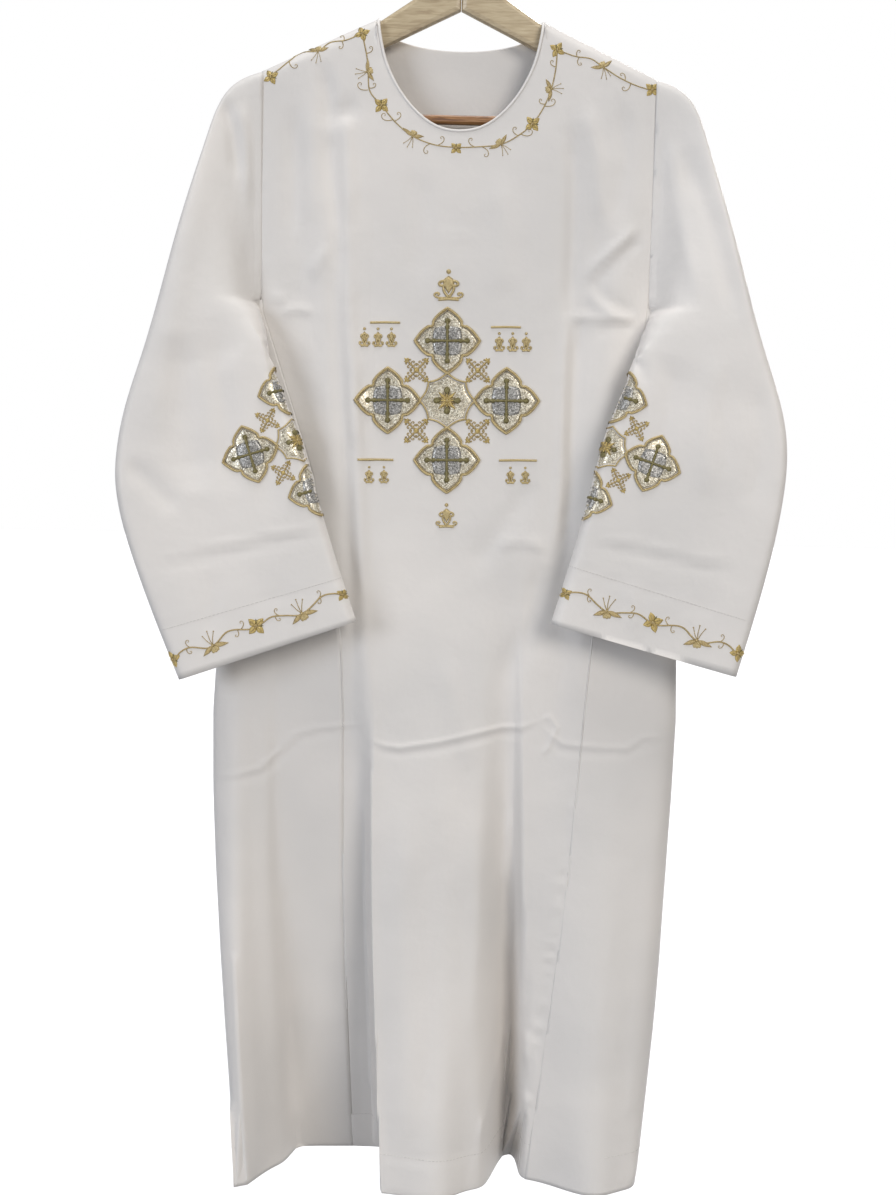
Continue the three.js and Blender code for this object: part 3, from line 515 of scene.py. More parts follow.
def crease_body(piece, creases, side, seed):
    """Moves the body's cloth outwards or inwards by its creases, its rumple and its hem."""
    x, y, drop = places_of(piece.data)
    away = from_cut_edges(piece.data)
    lift = crease_height(creases, x, drop) + 0.9 * rumple(x, drop, seed) * ramp(drop, 150, 420)
    # Only the sharp packed fold runs on over the side seams.
    packed = crease_height(PACKED_FOLDS, x, drop) if creases is FRONT_CREASES else 0
    lift = packed + (lift - packed) * ramp(away, 0, 14)
    # The turned-up hem is double, and its top edge shows as a small step over a groove.
    below = drop - hem_line(x)
    lift += (0.8 * ramp(below, -1.5, 1.5) - 0.7 * np.exp(-((below / 3.0) ** 2))) * ramp(away, 0, 6)
    # The right side seam draws the cloth into short puckers.
    from_seam = x - from_table(drop, RIGHT_SIDE_SEAM)
    puckers = np.sin(drop / 2.9 + 2 * np.sin(drop / 19)) * np.exp(-((from_seam / 8) ** 2))
    lift += 0.6 * puckers * ramp(drop, 500, 620) * ramp(away, 1, 7)
    # The neck, shoulders and side seams stay where they are sewn.
    from_side = from_table(drop, SIDE_OF_BODY) - np.abs(x)
    calm = ramp(drop, 18, 60) * np.where(drop > 640, 1, ramp(from_side, 0, 24))
    put_back(piece.data, x, y + side * lift * calm, neck_sag(x, y, drop))


def crease_gore(piece, hand, seed):
    """Waves on a side gore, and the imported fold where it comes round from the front."""
    x, y, drop = places_of(piece.data)
    away = from_cut_edges(piece.data)
    lift = 1.6 * np.sin(y / 17 + drop / 90 + seed) * ramp(drop, 420, 640)
    lift = (lift + 0.8 * rumple(y, drop, seed)) * ramp(away, 0, 16)
    y = y - crease_height(PACKED_FOLDS, x, drop) * ramp(from_table(drop, GORE_MIDDLE) - y, 4, 14)
    # The top is pushed up into the end of the armhole.
    drop = np.where(drop < 297, drop - 9, drop)
    put_back(piece.data, x + hand * lift * 0.8, y, drop)


# Columns: drop, and how far the sleeve's inner fold lies outside a straight line there
UNDERARM_GAPS = (
    (286, 0), (293, 9), (301, 14), (314, 16.5), (328, 16.5), (338, 12.5), (347, 6.5), (361, 0))
# The stitched top of each cuff's turning, from its inner to its outer end
CUFF_LINES = {-1: ((-107, 562), (-284, 618)), 1: ((116, 544), (296, 595))}


def below_cuff_line(hand, x, drop):
    """How far each vertex lies past the cuff's stitched line, towards the hand."""
    (inner_x, inner_drop), (outer_x, outer_drop) = CUFF_LINES[hand]
    width, slope = outer_x - inner_x, outer_drop - inner_drop
    return ((drop - inner_drop) * width - (x - inner_x) * slope) / hypot(width, slope)


def tree_of(piece):
    """A search tree of a piece's faces, for the rays that find its surface."""
    mesh = piece.data
    return BVHTree.FromPolygons([v.co for v in mesh.vertices], [p.vertices for p in mesh.polygons])


def crease_sleeve(piece, hand, seed):
    """Creases on both faces of a sleeve, fading to nothing where the cloth folds at its edges."""
    x, y, drop = places_of(piece.data)
    tree = tree_of(piece)
    front, rear = np.zeros(len(x)), np.zeros(len(x))
    for i in range(len(x)):
        for side, found in ((FRONT, front), (BACK, rear)):
            hit = tree.ray_cast(metres(x[i], side * 400, drop[i]), Vector((0, -side, 0)))[0]
            found[i] = hit.y * 1000 if hit else y[i]
    side = np.where(y < (front + rear) / 2, FRONT, BACK)
    # The back has the front's creases turned over and a little further in.
    creases = SLEEVE_CREASES[hand]
    seen = crease_height(creases, hand * x, drop) + 0.8 * rumple(x, drop, seed)
    hidden = -0.8 * crease_height(creases, hand * x + 9, drop) + 0.8 * rumple(x, drop, seed + 4)
    lift = np.where(side == FRONT, seen, hidden)
    lift -= 0.6 * np.exp(-((below_cuff_line(hand, x, drop) / 1.6) ** 2))
    calm = ramp(rear - front, 3.0, 14.0) * (ramp(np.abs(x), 203, 214) + ramp(drop, 285, 320))
    # The sleeve's head laps a little over the armhole, and lies a little further back behind.
    y = y + 2.3 * ramp(y, 2, 8) * (1 - ramp(np.abs(x), 201, 216)) * (drop < 300)
    head = (np.abs(x) < 202.5) & (drop < 290)
    x = np.where(head, x - hand * (1.7 + 0.9 * ramp(drop, 120, 270)), x)
    # Its inner fold hangs straight down from the underarm.
    x = x - hand * from_table(drop, UNDERARM_GAPS) * ramp(-np.abs(x), -266, -214)
    put_back(piece.data, x, y + side * lift * np.clip(calm, 0, 1), drop)


HANDS = ((-1, "left"), (1, "right"))
ROLL_EXTRA = 0.0006  # in metres: how much fuller the rolled edge is sewn
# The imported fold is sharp, so its rows are close.
FRONT_ROWS = [*range(16, 690, 32), *range(696, 790, 9), *range(802, 1200, 28)]
GORE_ROWS = [*range(310, 690, 24), *range(700, 790, 10), *range(800, 1200, 24)]
front_cloth = finer_copy("front_panel", "front_cloth", 2, WHITE_SATIN, 1.1, FRONT_ROWS)
back_cloth = finer_copy("back_panel", "back_cloth", 2, WHITE_SATIN, 1.1, range(20, 1200, 30))
gore_cloths = {hand: finer_copy(f"gore_{word}", f"{word}_gore_cloth", 2, WHITE_SATIN, 1.1, GORE_ROWS)
               for hand, word in HANDS}
sleeve_cloths = {hand: finer_copy(f"sleeve_{word}", f"{word}_sleeve_cloth", 3, WHITE_SATIN, 0.6)
                 for hand, word in HANDS}
neck_edge = finer_copy("neck_binding", "rolled_neck_edge", 1, BINDING_SATIN)
for vert in neck_edge.data.vertices:
    vert.co += vert.normal * ROLL_EXTRA
x, y, drop = places_of(neck_edge.data)
put_back(neck_edge.data, x, y, neck_sag(x, y, drop))

crease_body(front_cloth, FRONT_CREASES, FRONT, 0.4)
crease_body(back_cloth, BACK_CREASES, BACK, 2.3)
for hand, cloth in gore_cloths.items():
    crease_gore(cloth, hand, 1.0 + hand)
for hand, cloth in sleeve_cloths.items():
    crease_sleeve(cloth, hand, 3.0 + hand)


# ---- Embroidery ----

# Each motif is drawn flat, with x to the right, y up and the thread's height as z, in
# millimetres. It is then laid on the cloth, from the front or from the back.
KINDS = {"gold": GOLD_THREAD, "outline": OUTLINE_THREAD, "petal": PETAL_THREAD, "bronze": BRONZE_THREAD,
         "silver": SILVER_FILL, "blue": BLUE_FILL, "stitch": STITCH_THREAD_PAINTED_SHADE}


def new_art():
    return {kind: {"cords": [], "pads": []} for kind in KINDS}


def cord(art, kind, points, width, closed=False, taper=False, height=None):
    """A raised line of thread through points, its width across the cloth."""
    art[kind]["cords"].append((points, width, closed, taper, height or 0.62 * width))


def pad(art, kind, outline, height, base=0.0):
    """A filled shape of satin stitch, crowned in the middle."""
    art[kind]["pads"].append((outline, height, base))


def between(p, q, r, s, t):
    """The value a share t of the way from q to r, on a smooth line that comes from p and goes to s."""
    bend, twist = 2 * p - 5 * q + 4 * r - s, 3 * q - p - 3 * r + s
    return 0.5 * (2 * q + (r - p) * t + bend * t * t + twist * t ** 3)


def curved(points, step):
    """A smooth line through points, in steps of about that length."""
    line = []
    ends = [points[0], *points, points[-1]]
    for a, b, c, d in zip(ends, ends[1:], ends[2:], ends[3:]):
        pieces = max(1, round(dist(b, c) / step))
        for i in range(pieces):
            line.append(tuple(between(*values, i / pieces) for values in zip(a, b, c, d)))
    return line + [tuple(points[-1])]


def turned(points, place, angle, size=1.0):
    """Points turned anticlockwise by an angle in degrees, sized, and moved to a place."""
    c, s = cos(radians(angle)), sin(radians(angle))
    return [(place[0] + size * (x * c - y * s), place[1] + size * (x * s + y * c)) for x, y in points]


def out_from(place, angle, reach, size=1.0):
    """The place that lies a reach away at an angle."""
    return turned([(reach, 0)], place, angle, size)[0]


def dot(radius, sides=8, place=(0, 0)):
    """A small round outline."""
    return [out_from(place, 360 * k / sides, radius) for k in range(sides)]


def both_sides(side):
    """A closed outline from its upper side, which runs along +x."""
    return side + [(x, -y) for x, y in reversed(side[1:-1])]


def leaf_outline(length, width):
    """A pointed leaf from the origin along +x."""
    shares = [i / 7 for i in range(8)]
    return both_sides([(length * t, width / 2 * sin(pi * t ** 0.8)) for t in shares])


def petal_outline(length, width):
    """A rounded petal from the origin along +x, widest near its tip."""
    shares = [i / 8 for i in range(9)]
    return both_sides([(length * t, width / 2 * sin(pi * t ** 1.5) ** 0.7) for t in shares])


def curl_line(loops=1.15):
    """A tendril 19 mm long that leaves along +x and rolls up at its end."""
    line, heading, x, y, steps = [], 0.0, 0.0, 0.0, 18
    for i in range(steps + 1):
        line.append((x, y))
        share = i / steps
        step = 19.0 / steps * (1.25 - 0.75 * share)
        heading += radians(360 * loops / steps) * (0.15 + 1.7 * share ** 1.3)
        x, y = x + step * cos(heading), y + step * sin(heading)
    return line


def curl(art, place, angle, size, way):
    """A tendril that rolls anticlockwise, or clockwise where its way is -1."""
    line = [(x, way * y) for x, y in curl_line()]
    cord(art, "gold", turned(line, place, angle, size), 0.95, taper=True)


def placed(motif):
    """A motif that is drawn at the origin, as a function that draws it anywhere, at any size."""
    def draw(art, place, angle, size=1.0):
        plain = new_art()
        motif(plain)
        for kind, shapes in plain.items():
            for points, width, closed, taper, height in shapes["cords"]:
                line = turned(points, place, angle, size)
                cord(art, kind, line, width * size, closed, taper, height * size)
            for outline, height, base in shapes["pads"]:
                pad(art, kind, turned(outline, place, angle, size), height * size, base * size)
    return draw


@placed
def flower(art):
    """Four satin petals round a knot, with a short sepal on each side of the first."""
    for turn in (0, 90, 180, 270):
        start = out_from((0, 0), turn, 0.5)
        pad(art, "petal", turned(leaf_outline(9.6, 6.6), start, turn), 0.9)
        cord(art, "gold", turned([(2.0, 0), (4.5, 0.3), (7.2, 0)], start, turn), 0.7, height=1.4)
    for turn in (45, 315):
        start = out_from((0, 0), turn, 2.0)
        pad(art, "bronze", turned(leaf_outline(5.2, 1.9), start, turn), 0.8)
    pad(art, "gold", dot(2.0), 1.7)


STAMENS = ((122, 13.5), (96, 15.0), (70, 14.0))  # angle, length


@placed
def leaves_and_stamens(art):
    for turn, length in ((-8, 16.5), (-148, 14.5)):
        pad(art, "gold", turned(leaf_outline(length, 5.0), (0, 0), turn), 1.0)
        vein = [(1, 0), (length * 0.5, 0.2), (length * 0.86, 0)]
        cord(art, "outline", turned(vein, (0, 0), turn), 0.6, height=1.2)
    for turn in (-100, -75, -52):
        pad(art, "outline", turned(petal_outline(8.0, 4.4), (0, 0), turn), 1.0)
    for turn, length in STAMENS:
        stamen = turned([(0, 0), (length * 0.5, 0.5), (length, 0)], (0, 0), turn)
        cord(art, "gold", stamen, 0.95, taper=True)
    pad(art, "gold", dot(1.7), 1.5)


def spray(art, place, angle, size):
    """Two long leaves, a small cup flower below them and three fine stamens above."""
    leaves_and_stamens(art, place, angle, size)
    for turn, length in STAMENS:
        tip = out_from(place, angle + turn, length, size)
        pad(art, "gold", turned(dot(0.75, 6), tip, 0, size), 0.8 * size)


@placed
def sprig_cross(art):
    """Four slanting branches round a knot, each with three pairs of side curls and a leafy tip."""
    side_curl = turned(curl_line(), (0, 0), 48)
    for turn in (45, 135, 225, 315):
        cord(art, "gold", turned([(1, 0), (8, 0), (14, 0)], (0, 0), turn), 2.0)
        tip = out_from((0, 0), turn, 12.0)
        for lean, length in ((-42, 4.34), (0, 5.6), (42, 4.34)):
            pad(art, "petal", turned(leaf_outline(length, 2.8), tip, turn + lean), 1.0)
        for side in (1, -1):
            for start, reach in ((4.0, 0.50), (8.0, 0.46), (12.0, 0.34)):
                line = [(start + reach * x, side * reach * y) for x, y in side_curl]
                cord(art, "gold", turned(line, (0, 0), turn), 1.1)
    pad(art, "petal", dot(2.9), 1.7)


def round_shape(radius_at, steps):
    """A closed outline from the radius at each angle in degrees."""
    return [out_from((0, 0), 360 * i / steps, radius_at(360 * i / steps)) for i in range(steps)]


def off_axis(angle):
    """How many degrees an angle lies from the nearest axis, 45 at most."""
    return abs((angle + 45) % 90 - 45)


def diamond_radius(half):
    """A diamond whose sides swell on each half and step in at their middles."""
    def radius_at(angle):
        off = off_axis(angle)
        straight = half / (cos(radians(off)) + sin(radians(off)))
        swell = 0.055 * half * sin(pi * min(off / 40, 1.0)) ** 0.8
        step = 0.05 * half * ramp(off, 37, 42)
        return straight + swell - step
    return radius_at


def medallion_radius(tip, corner):
    """Eight points joined by hollow sides: the four on the axes reach further."""
    def radius_at(angle):
        share = off_axis(angle) / 45
        return (tip * (1 - share) + corner * share) * (1 - 0.15 * sin(pi * share) ** 0.75)
    return radius_at


def soft_square_radius(half):
    """A square with full, rounded corners."""
    return lambda angle: half / cos(radians(off_axis(angle))) ** 0.55


@placed
def embroidered_diamond(art):
    """A diamond filled in two tones, with a double outline and a knobbed cross."""
    outline = round_shape(diamond_radius(33.0), 96)
    pad(art, "silver", turned(outline, (0, 0), 0, 0.97), 0.9, -0.4)
    pad(art, "blue", round_shape(soft_square_radius(15.05), 48), 0.35, 0.75)
    cord(art, "outline", outline, 2.5, closed=True, height=2.3)
    cord(art, "gold", turned(outline, (0, 0), 0, 0.945), 0.8, closed=True, height=1.9)
    for turn in (0, 90, 180, 270):
        cord(art, "bronze", turned([(0, 0), (9, 0), (20, 0)], (0, 0), turn), 2.7, height=3.0)
        for along, radius in ((20.0, 2.9), (13.5, 2.4), (8.6, 1.9)):
            pad(art, "bronze", turned(dot(radius, 10, (along, 0)), (0, 0), turn), 1.9, 1.1)


@placed
def embroidered_medallion(art):
    """A filled star with eight blunt points, and a cross of petals and rays on it."""
    outline = round_shape(medallion_radius(28.0, 26.5), 96)
    pad(art, "silver", turned(outline, (0, 0), 0, 0.97), 0.9, -0.4)
    cord(art, "outline", outline, 2.0, closed=True, height=2.1)
    for turn in (0, 90, 180, 270):
        petal = turned(petal_outline(9.6, 6.4), out_from((0, 0), turn, 4.6), turn)
        pad(art, "bronze", petal, 1.6, 0.9)
        cord(art, "petal", turned([(0, 0), (3, 0), (6.4, 0)], (0, 0), turn), 1.7, height=2.8)
        pad(art, "petal", turned(leaf_outline(12.5, 3.2), (0, 0), turn + 45), 1.6, 0.8)
        for lean in (22, -22):
            pad(art, "gold", turned(leaf_outline(9.5, 2.1), (0, 0), turn + lean), 1.4, 0.8)
    pad(art, "gold", dot(2.4), 2.4, 0.9)


# ---- Sewing the motifs on ----

# Which way each side of the tunic looks, and what runs across it from left to right
ALONG_X, ALONG_Y = Vector((1, 0, 0)), Vector((0, 1, 0))
SIDES = {"front": (-ALONG_Y, ALONG_X), "back": (ALONG_Y, ALONG_X),
         "left": (-ALONG_X, ALONG_Y), "right": (ALONG_X, ALONG_Y)}


def mesh_of_cords(cords):
    """Round lines of thread at their heights, as one mesh."""
    lines = bpy.data.curves.new("cords", "CURVE")
    lines.dimensions = "3D"
    lines.bevel_depth = 1.0
    lines.bevel_resolution = 1
    lines.use_fill_caps = True
    for points, width, closed, taper, height in cords:
        line = lines.splines.new("POLY")
        line.points.add(len(points) - 1)
        line.use_cyclic_u = closed
        for i, ((x, y), point) in enumerate(zip(points, line.points)):
            point.co = (x, y, height - width / 2, 1)
            point.radius = width / 2 * (1 - 0.45 * i / len(points) if taper else 1)
    holder = new_object("cords", lines)
    mesh = baked(holder)
    bpy.data.objects.remove(holder)
    bpy.data.curves.remove(lines)
    return mesh


def mesh_of_pad(outline, height, base):
    """A crowned pad of satin stitch over an outline, in rings towards its middle."""
    bm = bmesh.new()
    corners = [Vector((x, y, 0)) for x, y in outline]
    middle = sum(corners, Vector((0, 0, 0))) / len(corners)
    radius = max((corner - middle).length for corner in corners)
    verts = [bm.verts.new((x, y, base - 0.4)) for x, y in outline]
    ring = [bm.edges.new((a, b)) for a, b in zip(verts, verts[1:] + verts[:1])]
    rings = max(3, round(radius / 4.5))
    shares = [1 - 0.9 * i / rings for i in range(rings + 1)]
    for before, share in zip([1.0, *shares], shares):
        made = bmesh.ops.extrude_edge_only(bm, edges=ring)["geom"]
        ring = [e for e in made if isinstance(e, bmesh.types.BMEdge)]
        rise = ramp((1 - share) * radius, -0.6, min(2.4, 0.8 * radius))
        for vert in (v for v in made if isinstance(v, bmesh.types.BMVert)):
            flat = Vector((vert.co.x, vert.co.y, 0)) - middle
            place = middle + flat * (share / before)
            vert.co = (place.x, place.y, base + height * rise)
    bmesh.ops.contextual_create(bm, geom=ring)
    bmesh.ops.triangulate(bm, faces=[f for f in bm.faces if len(f.verts) > 4])
    bmesh.ops.recalc_face_normals(bm, faces=bm.faces)
    if sum(f.normal.z * f.calc_area() for f in bm.faces) < 0:
        bmesh.ops.reverse_faces(bm, faces=bm.faces)
    return mesh_from(bm, "pad")


def laid(art, kinds, tree, side):
    """The flat motifs as a mesh on the cloth, in metres. What lies past the cloth is cut away."""
    bm = bmesh.new()
    for number, kind in enumerate(kinds):
        meshes = [mesh_of_pad(*shape) for shape in art[kind]["pads"]]
        if art[kind]["cords"]:
            meshes.append(mesh_of_cords(art[kind]["cords"]))
        for mesh in meshes:
            for polygon in mesh.polygons:
                polygon.material_index = number
            bm.from_mesh(mesh)
            bpy.data.meshes.remove(mesh)
    outward, across = SIDES[side]
    past_edge = []
    for vert in bm.verts:
        flat = across * vert.co.x / 1000 + Vector((0, 0, (NECK_POINT_Z + vert.co.y) / 1000))
        hit, normal, _, _ = tree.ray_cast(flat + outward * 0.5, -outward)
        if hit is None:
            past_edge.append(vert)
        else:
            vert.co = hit + normal * vert.co.z / 1000
    bmesh.ops.delete(bm, geom=past_edge, context="VERTS")
    if across.cross(Vector((0, 0, 1))).dot(outward) < 0:
        bmesh.ops.reverse_faces(bm, faces=bm.faces)
    return mesh_from(bm, "laid")


def sew(name, parts, nodes=()):
    """One piece from motifs laid on one or more sides. Each part is (art, tree, side)."""
    kinds = [k for k in KINDS if any(art[k]["cords"] or art[k]["pads"] for art, _, _ in parts)]
    bm = bmesh.new()
    for art, tree, side in parts:
        mesh = laid(art, kinds, tree, side)
        bm.from_mesh(mesh)
        bpy.data.meshes.remove(mesh)
    mesh = mesh_from(bm, name)
    mesh.shade_smooth()
    piece = new_piece(name, mesh, [KINDS[k] for k in kinds])
    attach(piece, "root")
    if nodes:
        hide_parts(*nodes)
    return piece


def both_faces(art, tree):
    """The same motifs on the front and on the back."""
    return [(art, tree, "front"), (art, tree, "back")]


def palmette(art, place, angle, size, wide, weight):
    """A petal between two scrolls that spring from one foot, with a knot above."""
    petal = [(-y * wide, x - 4) for x, y in petal_outline(15, 5.6)]
    pad(art, "outline", turned(petal, place, angle, size), 1.5 * size)
    for side in (1, -1):
        for turn, reach, thick in ((58, 1.5, 1.9), (-20, 0.8, 1.5)):
            scroll = turned(curl_line(1.25), (0, 0), turn, reach)
            scroll = [(side * x * wide, y - 7) for x, y in scroll]
            cord(art, "outline", turned(scroll, place, angle, size), thick * size * weight)
    foot = [(-5 * wide, -9), (0, -8.4), (5 * wide, -9)]
    cord(art, "outline", turned(foot, place, angle, size), 1.8 * size * weight)
    pad(art, "outline", turned(dot(2.1, 8, (0, 14.5)), place, angle, size), 1.7 * size)


def up(*places):
    """Places given as (x, drop), as points with y up."""
    return [(x, -drop) for x, drop in places]


# ---- Chest embroidery ----

front_tree = tree_of(front_cloth)
back_tree = tree_of(back_cloth)
CHEST = (-5.5, 382.5)  # the middle of the cross, as (x, drop)
CHEST_TILT = 1.0
CHEST_PITCH = 60.0


def chest_place(x, y):
    """A place in the chest cross, from its middle, x to the right and y up."""
    return turned([(x, y)], up(CHEST)[0], CHEST_TILT)[0]


for name, x, y in (("top", 0, 1), ("bottom", 0, -1), ("left", -1, 0), ("right", 1, 0)):
    art = new_art()
    embroidered_diamond(art, chest_place(x * CHEST_PITCH, y * CHEST_PITCH), CHEST_TILT)
    parts = [(art, front_tree, "front")]
    sew("embroidered_diamond_" + name, parts, ["chest_diamond_" + name])
art = new_art()
embroidered_medallion(art, chest_place(0, 0), CHEST_TILT)
sew("embroidered_medallion", [(art, front_tree, "front")], ["chest_medallion"])

# Small palmettes stand in rows under a bar at the cross's four corners.
# Columns: middle of the row (x, y), how many, pitch, size, middle of the bar, half its length
CHEST_ROWS = (
    (-70, 63, 3, 13.6, 0.74, -63, 15),
    (66, 59, 3, 13.6, 0.74, 59, 15),
    (-71, -75, 2, 15, 0.66, -72, 18),
    (72, -75, 2, 15, 0.66, 72, 19),
)
art = new_art()
for x in (-31, 31):
    for y in (30.5, -30.5):
        sprig_cross(art, chest_place(x, y), CHEST_TILT)
palmette(art, chest_place(1, 112), CHEST_TILT, 1.2, 1.7, 1.2)
palmette(art, chest_place(0, -119), CHEST_TILT, 0.95, 1.55, 1.2)
for x, y, count, pitch, size, over, reach in CHEST_ROWS:
    for k in range(count):
        place = chest_place(x + (k - (count - 1) / 2) * pitch, y - 2)
        palmette(art, place, CHEST_TILT, size, 1.0, 1.45)
    bar = [chest_place(over + share * reach, y + 15.3 - 0.3 * abs(share)) for share in (-1, 0, 1)]
    cord(art, "outline", bar, 2.4)
sew("chest_sprigs", [(art, front_tree, "front")])


# ---- Vines round the neck and along the shoulders ----

NECK_VINE = [
    (-99, 18), (-94, 39), (-92, 56), (-90, 75), (-78, 89), (-63, 106), (-46, 119), (-24, 127),
    (-2, 129), (21, 128), (43, 125), (60, 116), (74, 104), (85, 87), (92, 69), (96, 49), (97, 30)]
# Columns: motif, place (x, drop), angle, size
NECK_MOTIFS = [
    (flower, (-99, 18), 20, 0.85), (spray, (-93, 56), 96, 0.8), (flower, (-78, 89), 50, 0.9),
    (spray, (-46, 119), 148, 0.8), (flower, (-2, 130), 45, 0.7), (spray, (43, 125), 210, 0.8),
    (flower, (74, 104), 40, 0.9), (spray, (92, 69), 268, 0.8), (flower, (97, 30), 60, 0.85),
]
# Columns: place (x, drop), angle, size, way round
NECK_CURLS = [
    ((-94, 38), 10, 0.88, 1), ((-92, 74), 190, 1.20, -1), ((-91, 72), -10, 0.80, 1),
    ((-66, 103), 200, 1.28, -1), ((-64, 104), 20, 0.96, 1), ((-28, 126), -160, 1.12, 1),
    ((-20, 127), 20, 0.96, 1), ((16, 128), 160, 0.96, -1), ((24, 128), -20, 1.12, -1),
    ((60, 116), 160, 0.96, -1), ((62, 114), -30, 1.28, 1), ((87, 84), 190, 0.80, -1),
    ((86, 86), -10, 1.20, 1), ((96, 47), 170, 0.80, -1),
]
# Along each shoulder: the stem, its motifs and its curls, with the same columns
SHOULDER_VINES = [
    ([(-99, 18), (-115, 25), (-131, 27), (-143, 36), (-161, 36), (-171, 45), (-184, 56), (-193, 62)],
     [(spray, (-143, 36), 166, 0.8), (flower, (-190, 62), 30, 0.85)],
     [((-117, 25), 80, 0.68, 1), ((-119, 26), -60, 0.81, -1),
      ((-168, 42), 100, 0.81, -1), ((-172, 46), -80, 1.08, 1)]),
    ([(97, 30), (115, 36), (131, 38), (144, 46), (161, 56), (178, 63), (194, 67)],
     [(spray, (144, 46), 190, 0.8), (flower, (194, 66), 50, 0.85)],
     [((117, 36), 110, 0.68, -1), ((119, 37), -120, 0.81, 1),
      ((166, 58), 80, 0.81, 1), ((172, 61), -100, 1.08, -1)]),
]


def on_front(place):
    return up(place)[0]


def on_back(place):
    """The same place round the back of the neck, drawn up to the shallower neckline."""
    x, drop = place
    return up((x, drop if drop < 40 else 40 + (drop - 40) * 0.22))[0]


def vine(art, stem, motifs, curls, put, width, lean=0.0, flip=1):
    """A stem through its places, with its flowers, sprays and curls. The whole may lean, and where
    flip is -1 its curls are turned over."""
    cord(art, "gold", curved([put(place) for place in stem], 2.5), width)
    for motif, place, angle, size in motifs:
        motif(art, put(place), angle + lean, size)
    for place, angle, size, way in curls:
        curl(art, put(place), (angle if flip > 0 else 180 - angle) + lean, size, way * flip)


art = new_art()
for stem, motifs, curls in [(NECK_VINE, NECK_MOTIFS, NECK_CURLS), *SHOULDER_VINES]:
    vine(art, stem, motifs, curls, on_front, 1.25)
back_art = new_art()
vine(back_art, NECK_VINE, NECK_MOTIFS, NECK_CURLS, on_back, 1.25)
parts = [(art, front_tree, "front"), (back_art, back_tree, "back")]
sew("neck_and_shoulder_vine", parts)


# ---- Sleeve crosses ----

SLEEVE_CROSS = (153, 427)  # its middle, as x from the tunic's middle and drop
SLEEVE_TILT = 18
DIAMOND_SIZE, MEDALLION_SIZE, SPRIG_SIZE = 0.87, 0.78, 0.82


def sleeve_place(hand, across, along):
    """A place in a sleeve's cross: across towards the outer edge, along towards the cuff."""
    c, s = cos(radians(SLEEVE_TILT)), sin(radians(SLEEVE_TILT))
    x, drop = SLEEVE_CROSS
    return up((hand * (x + across * c - along * s), drop + across * s + along * c))[0]


sleeve_trees = {hand: tree_of(cloth) for hand, cloth in sleeve_cloths.items()}
for hand, word in HANDS:
    tree = sleeve_trees[hand]
    tilt = -hand * SLEEVE_TILT
    # Columns: the end of the piece's name and of its node's, across, along, the sides it lies on
    for name, node, across, along, sides in (
            ("upper", "upper", -5, -52, ("front", "back")),
            ("lower", "lower", -5, 52, ("front", "back")),
            ("front", "front", 48, 0, ("front",)), ("back", "rear", 48, 0, ("back",))):
        place = sleeve_place(hand, across, along)
        art = new_art()
        embroidered_diamond(art, place, tilt, DIAMOND_SIZE)
        parts = [(art, tree, side) for side in sides]
        sew(f"{word}_sleeve_diamond_{name}", parts, [f"sleeve_{word}_diamond_{node}"])
    art = new_art()
    embroidered_medallion(art, sleeve_place(hand, 0, 0), tilt, MEDALLION_SIZE)
    sew(f"{word}_sleeve_medallion", both_faces(art, tree),
        [f"sleeve_{word}_medallion"])
    art = new_art()
    for along in (-27, 27):
        sprig_cross(art, sleeve_place(hand, 22, along), tilt, SPRIG_SIZE)
    sew(f"{word}_sleeve_sprigs", both_faces(art, tree))


# ---- Cuff vines ----

# Each cuff's edge, from its inner to its outer end
CUFF_EDGES = {-1: ((-89, 604), (-267, 666)), 1: ((103, 599), (287, 648))}
# The vine on it, with places as how far along the edge from its inner end, and how far above it.
# The columns are those of the neck's vine.
CUFF_STEM = [(6, 29), (14, 33), (26, 34), (40, 27), (52, 23), (66, 27), (80, 30), (93, 26), (104, 25),
             (118, 29), (128, 29), (140, 22), (150, 20), (166, 26), (178, 24), (186, 17)]
CUFF_MOTIFS = [(flower, (6, 29), 40, 0.7), (spray, (50, 24), 0, 1.0), (flower, (97, 26), 30, 1.05),
               (spray, (144, 21), 0, 1.0), (flower, (187, 20), 10, 0.9)]
CUFF_CURLS = [
    ((30, 33), 150, 0.8, -1), ((28, 33), -100, 0.6, 1), ((72, 29), 35, 0.8, 1),
    ((76, 30), -80, 0.7, -1), ((112, 28), 150, 0.8, -1), ((116, 28), -105, 0.7, 1),
    ((166, 26), 40, 0.8, 1), ((170, 26), -80, 0.7, -1),
]


def cuff_place(hand, along, above):
    """A place on a cuff, as a point with y up."""
    (ax, ad), (bx, bd) = CUFF_EDGES[hand]
    length = hypot(bx - ax, bd - ad)
    dx, dd = (bx - ax) / length, (bd - ad) / length
    return ax + dx * along + hand * dd * above, -(ad + dd * along - hand * dx * above)


for hand, word in HANDS:
    (ax, ad), (bx, bd) = CUFF_EDGES[hand]
    tilt = degrees(atan2(-(bd - ad), abs(bx - ax))) * hand
    art = new_art()
    vine(art, CUFF_STEM, CUFF_MOTIFS, CUFF_CURLS, lambda place: cuff_place(hand, *place), 1.6,
         tilt, hand)
    sew(f"{word}_cuff_vine", both_faces(art, sleeve_trees[hand]))


# ---- Stitching ----


def stitched(places):
    """Stitches 2.4 mm long, with gaps of 1.2 mm, along a line of places (x, drop)."""
    art = new_art()
    line = curved(up(*places), 0.6)
    for i in range(0, len(line) - 4, 6):
        cord(art, "stitch", line[i : i + 5 : 4], 0.5, height=0.36)
    return art


